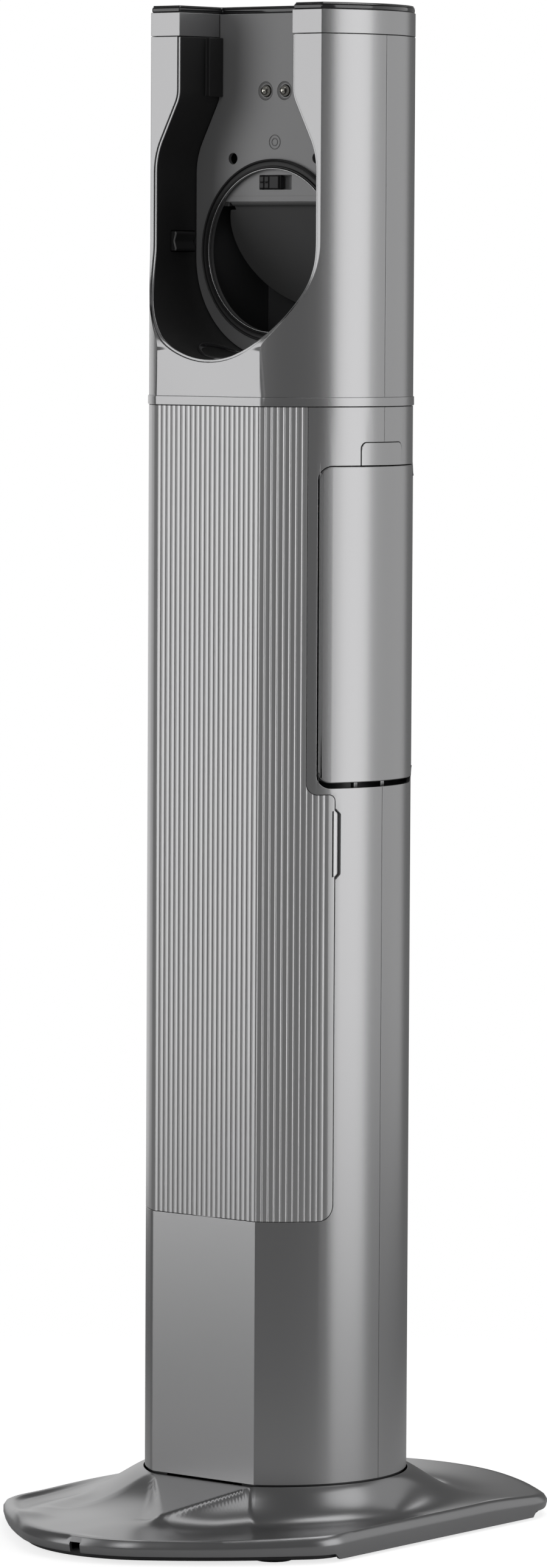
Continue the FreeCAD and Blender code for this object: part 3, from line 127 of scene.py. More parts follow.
@dataclass
class Wiring:
    """Small helper that adds and joins the nodes of one tree."""

    tree: bpy.types.NodeTree

    def add(self, kind: str, **settings: object) -> bpy.types.Node:
        """Add a node and set its properties or inputs.

        Args:
            kind: Node type without the ShaderNode prefix.
            settings: Property names, or input names with spaces as underscores.

        Returns:
            The new node.
        """
        node = self.tree.nodes.new(kind if kind.startswith("Node") else "ShaderNode" + kind)
        for name, value in settings.items():
            if hasattr(node, name):
                setattr(node, name, value)
            else:
                node.inputs[name.replace("_", " ")].default_value = value
        return node

    def join(self, source: Socket, target: Socket) -> None:
        """Link two sockets."""
        self.tree.links.new(source, target)

    def maths(self, operation: str, first: object, second: object = 0.5, clamp: bool = False) -> Socket:
        """Add one arithmetic node.

        Args:
            operation: Blender's name of the operation.
            first: Socket or number.
            second: Socket or number.
            clamp: Keep the result between 0 and 1.

        Returns:
            The output socket.
        """
        node = self.add("Math", operation=operation, use_clamp=clamp)
        for index, value in enumerate((first, second)):
            if isinstance(value, Socket):
                self.join(value, node.inputs[index])
            else:
                node.inputs[index].default_value = value
        return node.outputs[0]

    def ramp(self, value: Socket, low: float, high: float,
             start: float = 0.0, end: float = 1.0) -> Socket:
        """Map a value from low..high to start..end, clamped.

        Args:
            value: Socket to map.
            low: Value that gives start.
            high: Value that gives end.
            start: Result at low.
            end: Result at high.

        Returns:
            The output socket.
        """
        node = self.add("MapRange", clamp=True)
        self.join(value, node.inputs["Value"])
        for name, number in (("From Min", low), ("From Max", high), ("To Min", start), ("To Max", end)):
            node.inputs[name].default_value = number
        return node.outputs[0]

    def noise(self, scale: float, detail: float, stretch: tuple[float, float, float] = (1, 1, 1)) -> Socket:
        """Noise on the object's own coordinates.

        Args:
            scale: Size of the pattern, per metre.
            detail: Octaves.
            stretch: Scale along each axis.

        Returns:
            The noise value.
        """
        place = self.add("TexCoord")
        turn = self.add("Mapping", vector_type="POINT")
        turn.inputs["Scale"].default_value = stretch
        cloud = self.add("TexNoise")
        cloud.inputs["Scale"].default_value = scale
        cloud.inputs["Detail"].default_value = detail
        self.join(place.outputs["Object"], turn.inputs["Vector"])
        self.join(turn.outputs["Vector"], cloud.inputs["Vector"])
        return cloud.outputs[0]


class Groups:
    """Shader node groups that several finishes share, each built once."""

    @staticmethod
    def open(name: str, inputs: dict[str, float],
             outputs: Iterable[str]) -> tuple[bpy.types.NodeTree, Wiring, bpy.types.Node, bpy.types.Node]:
        """Start a group with named sockets.

        Args:
            name: Group name.
            inputs: Input names and their defaults.
            outputs: Output names; one called Normal is a vector.

        Returns:
            The tree, its wiring, its input node and its output node.
        """
        tree = bpy.data.node_groups.new(name, "ShaderNodeTree")
        for title, value in inputs.items():
            socket = tree.interface.new_socket(title, in_out="INPUT", socket_type="NodeSocketFloat")
            socket.default_value = value
        for title in outputs:
            kind = "NodeSocketVector" if title == "Normal" else "NodeSocketFloat"
            tree.interface.new_socket(title, in_out="OUTPUT", socket_type=kind)
        wires = Wiring(tree)
        return tree, wires, wires.add("NodeGroupInput"), wires.add("NodeGroupOutput")

    @classmethod
    def grain(cls) -> bpy.types.NodeTree:
        """Fine moulded or sprayed grain: a height, and a slow mottle of the tone."""
        if "moulded_grain" in bpy.data.node_groups:
            return bpy.data.node_groups["moulded_grain"]
        tree, wires, given, result = cls.open("moulded_grain", {"Scale": 900.0, "Mottle": 7.0}, ("Height", "Tone"))
        place = wires.add("TexCoord")
        fine = wires.add("TexNoise", Detail=3.0)
        slow = wires.add("TexNoise", Detail=1.0)
        for cloud, title in ((fine, "Scale"), (slow, "Mottle")):
            wires.join(place.outputs["Object"], cloud.inputs["Vector"])
            wires.join(given.outputs[title], cloud.inputs["Scale"])
        wires.join(fine.outputs[0], result.inputs["Height"])
        wires.join(wires.ramp(slow.outputs[0], 0.15, 0.85), result.inputs["Tone"])
        return tree

    @classmethod
    def worn_edges(cls) -> bpy.types.NodeTree:
        """Softly rounded edges, and a mask of where hands and cloths rub them."""
        if "worn_edges" in bpy.data.node_groups:
            return bpy.data.node_groups["worn_edges"]
        tree, wires, given, result = cls.open("worn_edges", {"Radius": 0.0005}, ("Normal", "Mask"))
        soft = wires.add("Bevel", samples=4)
        wires.join(given.outputs["Radius"], soft.inputs["Radius"])
        plain = wires.add("NewGeometry")
        cross = wires.add("VectorMath", operation="DOT_PRODUCT")
        wires.join(soft.outputs[0], cross.inputs[0])
        wires.join(plain.outputs["Normal"], cross.inputs[1])
        edge = wires.ramp(cross.outputs["Value"], 0.985, 0.86)
        rubbed = wires.ramp(wires.noise(60.0, 2.0), 0.3, 0.7)
        wires.join(soft.outputs[0], result.inputs["Normal"])
        wires.join(wires.maths("MULTIPLY", edge, rubbed), result.inputs["Mask"])
        return tree

    @classmethod
    def dust(cls) -> bpy.types.NodeTree:
        """Thin dust that settles on surfaces that face up."""
        if "settled_dust" in bpy.data.node_groups:
            return bpy.data.node_groups["settled_dust"]
        tree, wires, given, result = cls.open("settled_dust", {"Amount": 0.2}, ("Mask",))
        shape = wires.add("NewGeometry")
        parts = wires.add("SeparateXYZ")
        wires.join(shape.outputs["Normal"], parts.inputs[0])
        facing = wires.ramp(parts.outputs["Z"], 0.55, 1.0)
        cloud = wires.ramp(wires.noise(45.0, 2.0), 0.2, 0.8)
        both = wires.maths("MULTIPLY", facing, cloud)
        wires.join(wires.maths("MULTIPLY", both, given.outputs["Amount"]), result.inputs["Mask"])
        return tree

    @classmethod
    def streaks(cls) -> bpy.types.NodeTree:
        """Faint upright streaks, as a sprayed film or a turned surface shows."""
        if "upright_streaks" in bpy.data.node_groups:
            return bpy.data.node_groups["upright_streaks"]
        tree, wires, _, result = cls.open("upright_streaks", {"Amount": 1.0}, ("Height",))
        wires.join(wires.noise(400.0, 2.0, (1.0, 1.0, 0.02)), result.inputs["Height"])
        return tree


# ---------------------------------------------------------------- finishes


@dataclass(frozen=True)
class Finish:
    """A moulded, painted or metal surface."""

    name: str
    tone: tuple[float, float, float]
    roughness: float
    metallic: float = 0.0
    grain_scale: float = 900.0
    grain_height: float = 0.00002
    mottle: float = 0.06
    wear: float = 0.0
    wear_tone: tuple[float, float, float] = (0.7, 0.7, 0.7)
    dust: float = 0.0
    coat: float = 0.0
    edge: float = 0.0004
    streak: float = 0.0
    specular: float = 0.5
    sheen: float = 0.0

    def material(self) -> bpy.types.Material:
        """Build the material once and return it.

        Returns:
            The Blender material.
        """
        if self.name in bpy.data.materials:
            return bpy.data.materials[self.name]
        made = bpy.data.materials.new(self.name)
        made.use_nodes = True
        made.diffuse_color = (*self.tone, 1.0)
        wires = Wiring(made.node_tree)
        skin = made.node_tree.nodes["Principled BSDF"]
        skin.inputs["Metallic"].default_value = self.metallic
        skin.inputs["Coat Weight"].default_value = self.coat
        skin.inputs["Coat Roughness"].default_value = 0.08
        skin.inputs["Specular IOR Level"].default_value = self.specular
        skin.inputs["Sheen Weight"].default_value = self.sheen
        grain = wires.add("Group", node_tree=Groups.grain())
        grain.inputs["Scale"].default_value = self.grain_scale
        edges = wires.add("Group", node_tree=Groups.worn_edges())
        edges.inputs["Radius"].default_value = self.edge
        tint = wires.add("Mix", data_type="RGBA")
        tint.inputs[6].default_value = (*[c * (1 - self.mottle) for c in self.tone], 1.0)
        tint.inputs[7].default_value = (*[min(1.0, c * (1 + self.mottle)) for c in self.tone], 1.0)
        wires.join(grain.outputs["Tone"], tint.inputs[0])
        colour = tint.outputs[2]
        if self.wear:
            colour = self.over(wires, colour, wires.maths("MULTIPLY", edges.outputs["Mask"], self.wear), self.wear_tone)
        if self.dust:
            film = wires.add("Group", node_tree=Groups.dust())
            film.inputs["Amount"].default_value = self.dust
            colour = self.over(wires, colour, film.outputs["Mask"], (0.62, 0.60, 0.57))
        wires.join(colour, skin.inputs["Base Color"])
        spread = wires.ramp(grain.outputs["Tone"], 0.0, 1.0, self.roughness * (1 - self.mottle),
                            min(1.0, self.roughness * (1 + self.mottle)))
        wires.join(spread, skin.inputs["Roughness"])
        height = grain.outputs["Height"]
        if self.streak:
            lines = wires.add("Group", node_tree=Groups.streaks())
            height = wires.maths("ADD", height, wires.maths("MULTIPLY", lines.outputs["Height"], self.streak))
        relief = wires.add("Bump", Strength=0.6, Distance=self.grain_height)
        wires.join(height, relief.inputs["Height"])
        wires.join(edges.outputs["Normal"], relief.inputs["Normal"])
        wires.join(relief.outputs["Normal"], skin.inputs["Normal"])
        return made

    @staticmethod
    def over(wires: Wiring, colour: Socket, mask: Socket,
             tone: tuple[float, float, float]) -> Socket:
        """Lay a tone over a colour where the mask is set.

        Args:
            wires: Wiring of the material.
            colour: Colour below.
            mask: Where the tone shows.
            tone: Colour above.

        Returns:
            The mixed colour.
        """
        mix = wires.add("Mix", data_type="RGBA")
        mix.inputs[7].default_value = (*tone, 1.0)
        wires.join(mask, mix.inputs[0])
        wires.join(colour, mix.inputs[6])
        return mix.outputs[2]


@dataclass(frozen=True)
class Fleece:
    """Non-woven cloth with loose fibres."""

    name: str
    tone: tuple[float, float, float]
    fibre_scale: float = 700.0

    def material(self) -> bpy.types.Material:
        """Build the material once and return it.

        Returns:
            The Blender material.
        """
        if self.name in bpy.data.materials:
            return bpy.data.materials[self.name]
        made = bpy.data.materials.new(self.name)
        made.use_nodes = True
        wires = Wiring(made.node_tree)
        skin = made.node_tree.nodes["Principled BSDF"]
        skin.inputs["Sheen Weight"].default_value = 0.35
        skin.inputs["Roughness"].default_value = 0.95
        along = wires.noise(self.fibre_scale, 4.0, (1.0, 0.25, 1.0))
        across = wires.noise(self.fibre_scale * 1.3, 4.0, (0.3, 1.0, 0.3))
        fibres = wires.maths("MAXIMUM", along, across)
        shade = wires.add("Mix", data_type="RGBA")
        shade.inputs[6].default_value = (*[c * 0.72 for c in self.tone], 1.0)
        shade.inputs[7].default_value = (*self.tone, 1.0)
        wires.join(wires.ramp(fibres, 0.4, 0.7), shade.inputs[0])
        stain = Finish.over(wires, shade.outputs[2], wires.maths(
            "MULTIPLY", wires.ramp(wires.noise(18.0, 3.0), 0.5, 0.8), 0.35), tuple(c * 0.6 for c in self.tone))
        wires.join(stain, skin.inputs["Base Color"])
        relief = wires.add("Bump", Strength=0.7, Distance=0.0003)
        wires.join(fibres, relief.inputs["Height"])
        wires.join(relief.outputs["Normal"], skin.inputs["Normal"])
        return made


@dataclass(frozen=True)
class Palette:
    """Finishes of the tower, by what they cover."""

    shell: Finish = Finish("satin_silver_paint", (0.46, 0.46, 0.465), 0.26, 0.82, 1600.0, 0.000005, 0.02,
                           0.05, (0.62, 0.62, 0.62))
    door: Finish = Finish("ribbed_silver_paint", (0.66, 0.66, 0.665), 0.30, 0.75, 1600.0, 0.000004, 0.02,
                          0.05, (0.72, 0.72, 0.72), edge=0.0001)
    base: Finish = Finish("base_silver_paint", (0.31, 0.31, 0.315), 0.28, 0.82, 1500.0, 0.000006, 0.03,
                          0.08, (0.45, 0.45, 0.45), 0.03)
    plate: Finish = Finish("docking_plate_paint", (0.36, 0.36, 0.365), 0.44, 0.20, 1500.0, 0.000006, 0.03,
                           0.10, (0.4, 0.4, 0.4), 0.02)
    # tip: painted highlight, a light grey laid on the clamp tips' front edge where a highlight falls
    tip: Finish = Finish("painted_highlight_plastic", (0.30, 0.30, 0.30), 0.34, 0.0, 1500.0, 0.000006, 0.03)
    bright: Finish = Finish("bright_silver_edge", (0.62, 0.62, 0.625), 0.26, 0.9, 1500.0, 0.00001, 0.03)
    cradle: Finish = Finish("satin_black_lining", (0.032, 0.032, 0.033), 0.42, 0.0, 1400.0, 0.00002, 0.15,
                            0.15, (0.10, 0.10, 0.10), 0.04)
    under: Finish = Finish("matt_dark_moulding", (0.035, 0.035, 0.037), 0.48, 0.0, 1100.0, 0.00003, 0.15,
                           0.20, (0.12, 0.12, 0.12), 0.06)
    cap: Finish = Finish("polished_dark_cap", (0.030, 0.030, 0.032), 0.12, 0.25, 900.0, 0.000002, 0.1,
                         0.1, (0.2, 0.2, 0.2), 0.10, coat=1.0)
    rubber: Finish = Finish("soft_seal_rubber", (0.030, 0.030, 0.031), 0.46, 0.0, 1300.0, 0.00003, 0.2, dust=0.05,
                            edge=0.0003)
    foot: Finish = Finish("matt_foot_rubber", (0.018, 0.018, 0.018), 0.75, 0.0, 1300.0, 0.00005, 0.2)
    flap: Finish = Finish("satin_flap_grey", (0.17, 0.17, 0.172), 0.36, 0.0, 1300.0, 0.00002, 0.1, 0.2,
                          (0.14, 0.14, 0.14))
    inner: Finish = Finish("plain_inner_moulding", (0.085, 0.086, 0.09), 0.55, 0.0, 700.0, 0.00005, 0.12, 0.15,
                           (0.2, 0.2, 0.2), 0.12)
    steel: Finish = Finish("turned_steel", (0.60, 0.60, 0.60), 0.28, 1.0, 900.0, 0.00001, 0.08, streak=1.5, edge=0.0002)
    iron: Finish = Finish("coated_iron", (0.10, 0.10, 0.105), 0.6, 0.4, 260.0, 0.0002, 0.25, 0.4, (0.3, 0.28, 0.26))
    contact: Finish = Finish("plated_contact", (0.74, 0.72, 0.66), 0.12, 1.0, 900.0, 0.000004, 0.03, edge=0.0001)
    copper: Finish = Finish("lacquered_winding", (0.55, 0.25, 0.11), 0.3, 0.9, 900.0, 0.00002, 0.15, edge=0.0001)
    lamination: Finish = Finish("stacked_laminations", (0.28, 0.28, 0.29), 0.4, 0.9, 900.0, 0.00002, 0.2,
                                edge=0.0001)
    card: Finish = Finish("pressed_card", (0.50, 0.38, 0.24), 0.85, 0.0, 500.0, 0.0001, 0.15, edge=0.0002)
    board: Finish = Finish("solder_mask", (0.015, 0.12, 0.055), 0.35, 0.0, 800.0, 0.00001, 0.1, coat=0.4, edge=0.0001)
    chip: Finish = Finish("chip_resin", (0.02, 0.02, 0.022), 0.5, 0.0, 1500.0, 0.00002, 0.1, edge=0.0001)
    lens: Finish = Finish("milky_lens", (0.60, 0.63, 0.66), 0.18, 0.0, 900.0, 0.000002, 0.04, edge=0.0001)
    fleece: Fleece = Fleece("bag_cloth", (0.80, 0.79, 0.76))
    pleats: Fleece = Fleece("filter_cloth", (0.72, 0.74, 0.78), 500.0)


PALETTE = Palette()


# ---------------------------------------------------------------- modelling


class Bench:
    """Hand tools: each works on one mesh object through Blender's own operators."""

    @staticmethod
    def only(item: Piece) -> Piece:
        """Select one object alone and make it active."""
        bpy.ops.object.select_all(action="DESELECT")
        item.select_set(True)
        bpy.context.view_layer.objects.active = item
        return item

    @staticmethod
    def named(name: str) -> Piece:
        """Name the active object and its mesh."""
        item = bpy.context.object
        item.name = name
        item.data.name = name
        return item

    @classmethod
    def edit(cls, item: Piece) -> bmesh.types.BMesh:
        """Open a piece for editing with nothing selected and return its edit mesh."""
        cls.only(item)
        bpy.ops.object.mode_set(mode="EDIT")
        bpy.ops.mesh.select_mode(type="VERT")
        bpy.ops.mesh.select_all(action="DESELECT")
        return bmesh.from_edit_mesh(item.data)

    @classmethod
    def done(cls) -> None:
        """Leave edit mode."""
        bpy.ops.object.mode_set(mode="OBJECT")

    @classmethod
    def settle(cls, item: Piece) -> Piece:
        """Move the object's place into its mesh."""
        cls.only(item)
        bpy.ops.object.transform_apply(location=True, rotation=True, scale=True)
        return item

    @classmethod
    def block(cls, name: str, low: tuple, high: tuple, turn: float = 0.0) -> Piece:
        """Box between two corners, turned about its own upright axis.

        Args:
            name: Piece name.
            low: Lowest corner.
            high: Highest corner.
            turn: Turn about the upright axis, in degrees.

        Returns:
            The piece.
        """
        a, b = Vector(low), Vector(high)
        bpy.ops.mesh.primitive_cube_add(size=1.0, location=(a + b) / 2, rotation=(0, 0, math.radians(turn)),
                                        scale=b - a)
        return cls.settle(cls.named(name))

    @classmethod
    def rod(cls, name: str, centre: tuple, radius: float, depth: float, axis: tuple = (0, 0, 1), sides: int = 48,
            tip: float | None = None) -> Piece:
        """Cylinder or cone round a centre.

        Args:
            name: Piece name.
            centre: Middle of the axis.
            radius: Radius at the lower end.
            depth: Length along the axis.
            axis: Direction of the axis.
            sides: Number of sides.
            tip: Radius at the far end, where it differs.

        Returns:
            The piece.
        """
        turn = Vector(axis).to_track_quat("Z", "Y").to_euler()
        bpy.ops.mesh.primitive_cone_add(vertices=sides, radius1=radius, radius2=radius if tip is None else tip,
                                        depth=depth, location=centre, rotation=turn)
        return cls.settle(cls.named(name))

    @classmethod
    def line(cls, name: str, points: list[Vector], closed: bool = False) -> Piece:
        """Chain of edges, drawn point after point by extrusion.

        Args:
            name: Piece name.
            points: Points of the chain.
            closed: Join the end to the start.

        Returns:
            The piece.
        """
        bpy.ops.mesh.primitive_plane_add(size=0.001, location=points[0])
        item = cls.settle(cls.named(name))
        cls.edit(item)
        bpy.ops.mesh.select_all(action="SELECT")
        bpy.ops.mesh.merge(type="CENTER")
        for before, after in zip(points, points[1:]):
            bpy.ops.mesh.extrude_region_move(TRANSFORM_OT_translate={"value": after - before})
        if closed:
            shape = bmesh.from_edit_mesh(item.data)
            shape.verts.ensure_lookup_table()
            bpy.ops.mesh.select_all(action="DESELECT")
            for index in (0, -1):
                shape.verts[index].select = True
            bpy.ops.mesh.edge_face_add()
        cls.done()
        return item

    @classmethod
    def slab(cls, name: str, points: list[Vector], thick: Vector) -> Piece:
        """Closed outline filled and given a thickness.

        Args:
            name: Piece name.
            points: Outline in order.
            thick: Direction and size of the thickness.

        Returns:
            The piece.
        """
        item = cls.line(name, points, True)
        cls.edit(item)
        bpy.ops.mesh.select_all(action="SELECT")
        bpy.ops.mesh.edge_face_add()
        bpy.ops.mesh.extrude_region_move(TRANSFORM_OT_translate={"value": thick})
        bpy.ops.mesh.select_all(action="SELECT")
        bpy.ops.mesh.normals_make_consistent(inside=False)
        cls.done()
        return item

    @classmethod
    def turned(cls, name: str, profile: list[tuple[float, float]], centre: Vector, axis: tuple = (0, 0, 1),
               sides: int = 72, sweep: float = 360.0, start: float = 0.0) -> Piece:
        """Profile spun round an axis, as on a lathe.

        Args:
            name: Piece name.
            profile: Points as (radius, height along the axis).
            centre: Point on the axis at height 0.
            axis: Direction of the axis.
            sides: Steps of the spin.
            sweep: Angle of the spin in degrees.
            start: Angle that the spin starts at, in degrees.

        Returns:
            The piece.
        """
        item = cls.line(name, [Vector((radius, 0, height)) for radius, height in profile])
        cls.edit(item)
        bpy.ops.mesh.select_all(action="SELECT")
        bpy.ops.mesh.spin(steps=sides, angle=math.radians(sweep), center=(0, 0, 0), axis=(0, 0, 1))
        bpy.ops.mesh.select_all(action="SELECT")
        bpy.ops.mesh.remove_doubles(threshold=0.000002)
        bpy.ops.mesh.select_all(action="SELECT")
        bpy.ops.mesh.normals_make_consistent(inside=False)
        cls.done()
        item.rotation_euler = (Vector(axis).to_track_quat("Z", "Y").to_matrix()
                               @ Matrix.Rotation(math.radians(start), 3, "Z")).to_euler()
        item.location = centre
        return cls.settle(item)

    @classmethod
    def twin(cls, item: Piece, name: str, move: Vector = Vector((0, 0, 0)), turn: float = 0.0,
             centre: Vector = AXIS, axis: str = "Z") -> Piece:
        """Copy of a piece with its own mesh, moved and turned.

        Args:
            item: Piece to copy.
            name: Name of the copy.
            move: Displacement.
            turn: Angle in degrees.
            centre: Centre of the turn.
            axis: Axis of the turn.

        Returns:
            The copy.
        """
        cls.only(item)
        bpy.ops.object.duplicate(linked=False)
        copy = cls.named(name)
        spin = Matrix.Rotation(math.radians(turn), 4, axis)
        copy.matrix_world = Matrix.Translation(centre + move) @ spin @ Matrix.Translation(-centre)
        return cls.settle(copy)

    @classmethod
    def flip(cls, item: Piece, name: str) -> Piece:
        """Copy of a piece mirrored across the middle plane, left to right."""
        copy = cls.twin(item, name)
        copy.scale = (-1, 1, 1)
        cls.settle(copy)
        cls.edit(copy)
        bpy.ops.mesh.select_all(action="SELECT")
        bpy.ops.mesh.normals_make_consistent(inside=False)
        cls.done()
        return copy

    @classmethod
    def join(cls, items: list[Piece], name: str) -> Piece:
        """Join pieces into one object and name it."""
        bpy.ops.object.select_all(action="DESELECT")
        for item in items:
            item.select_set(True)
        bpy.context.view_layer.objects.active = items[0]
        bpy.ops.object.join()
        return cls.named(name)

    @classmethod
    def modify(cls, item: Piece, kind: str, **settings: object) -> Piece:
        """Add a modifier and apply it.

        Args:
            item: Piece to change.
            kind: Modifier type.
            settings: Its properties.

        Returns:
            The same piece.
        """
        cls.only(item)
        change = item.modifiers.new(kind.lower(), kind)
        for name, value in settings.items():
            setattr(change, name, value)
        bpy.ops.object.modifier_apply(modifier=change.name)
        return item

    @classmethod
    def carve(cls, item: Piece, tools: list[Piece], operation: str = "DIFFERENCE") -> Piece:
        """Cut a piece with others, which are used up.

        Args:
            item: Piece to cut.
            tools: Cutters.
            operation: DIFFERENCE, INTERSECT or UNION.

        Returns:
            The same piece.
        """
        for tool in tools:
            cls.modify(item, "BOOLEAN", object=tool, operation=operation, solver="EXACT")
            bpy.data.objects.remove(tool)
        return item

    @classmethod
    def soften(cls, item: Piece, width: float, segments: int = 2, angle: float = 32.0,
               clamp: bool = False) -> Piece:
        """Round the sharp edges and shade the rest smooth.

        Args:
            item: Piece to finish.
            width: Width of the rounding.
            segments: Steps of the rounding.
            angle: Edges sharper than this are rounded.
            clamp: Keep the rounding from running over itself.

        Returns:
            The same piece.
        """
        if width:
            cls.modify(item, "BEVEL", width=width, segments=segments, limit_method="ANGLE",
                       angle_limit=math.radians(angle), use_clamp_overlap=clamp, miter_outer="MITER_ARC")
        cls.only(item)
        bpy.ops.object.shade_smooth_by_angle(angle=math.radians(angle))
        return cls.modify(item, "WEIGHTED_NORMAL", mode="FACE_AREA_WITH_ANGLE", weight=90, keep_sharp=True)

    @classmethod
    def from_node(cls, node: str, name: str, flatten: float = 0.4) -> Piece:
        """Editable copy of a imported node, with its triangles merged into clean faces.

        Args:
            node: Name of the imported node.
            name: Name of the copy.
            flatten: Faces that differ by less than this angle, in degrees, become one.

        Returns:
            The copy.
        """
        source = frame["nodes"][node]
        copy = source.copy()
        copy.data = source.data.copy()
        copy.name = name
        copy.data.name = name
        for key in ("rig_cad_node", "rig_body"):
            if key in copy:
                del copy[key]
        copy.parent = None
        bpy.context.scene.collection.objects.link(copy)
        cls.only(copy)
        if copy.data.has_custom_normals:
            bpy.ops.mesh.customdata_custom_splitnormals_clear()
        cls.edit(copy)
        bpy.ops.mesh.select_all(action="SELECT")
        bpy.ops.mesh.remove_doubles(threshold=0.000004)
        bpy.ops.mesh.dissolve_limited(angle_limit=math.radians(flatten), delimit={"NORMAL"})
        cls.done()
        return copy

    @classmethod
    def closed(cls, item: Piece) -> Piece:
        """Fill the open ends of a spun piece."""
        cls.edit(item)
        bpy.ops.mesh.select_non_manifold()
        bpy.ops.mesh.edge_face_add()
        bpy.ops.mesh.select_all(action="SELECT")
        bpy.ops.mesh.normals_make_consistent(inside=False)
        cls.done()
        return item

    @classmethod
    def scatter(cls, item: Piece, rule: Callable[[Vector], Vector]) -> Piece:
        """Move every vertex by a rule, as sculpting does.

        Args:
            item: Piece to shape.
            rule: Gives the new place of a point.

        Returns:
            The same piece.
        """
        shape = cls.edit(item)
        for vert in shape.verts:
            vert.co = rule(vert.co)
        bmesh.update_edit_mesh(item.data)
        cls.done()
        return item

    @classmethod
    def dress(cls, item: Piece, finish: Finish | Fleece, body: Body, slot: Slot, *nodes: str) -> Piece:
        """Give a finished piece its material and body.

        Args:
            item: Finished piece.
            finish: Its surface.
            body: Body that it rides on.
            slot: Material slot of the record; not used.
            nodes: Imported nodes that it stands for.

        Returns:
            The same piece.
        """
        item.data.materials.clear()
        item.data.materials.append(finish.material())
        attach(item, body.value)
        if nodes:
            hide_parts(*nodes)
        log.info("%s: %d faces on %s", item.name, len(item.data.polygons), body.value)
        return item

    @classmethod
    def keep(cls, node: str, finish: Finish | Fleece) -> None:
        """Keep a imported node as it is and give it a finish."""
        item = frame["nodes"][node]
        item.data.materials.clear()
        item.data.materials.append(finish.material())

    @classmethod
    def eased(cls, node: str, finish: Finish, body: Body, slot: Slot, width: float, segments: int = 2) -> Piece:
        """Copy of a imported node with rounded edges, dressed and in its place.

        Args:
            node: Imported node.
            finish: Its surface.
            body: Body that it rides on.
            slot: Material slot of the record.
            width: Width of the rounding.
            segments: Steps of the rounding.

        Returns:
            The piece.
        """
        item = cls.soften(cls.from_node(node, node + "_skin"), width, segments)
        return cls.dress(item, finish, body, slot, node)


def polar(radius: float, angle: float, height: float = 0.0) -> Vector:
    """Point round the tower's axis; 0 degrees faces the front and 90 the right side."""
    turn = math.radians(angle)
    return AXIS + Vector((radius * math.sin(turn), -radius * math.cos(turn), height))


def middle_of(node: str) -> Vector:
    """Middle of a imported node, seen from above, at height 0."""
    low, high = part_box(node)
    return Vector(((low.x + high.x) / 2, (low.y + high.y) / 2, 0))


def smooth(value: float) -> float:
    """Smooth step from 0 to 1."""
    share = min(1.0, max(0.0, value))
    return share * share * (3 - 2 * share)


# ---------------------------------------------------------------- base


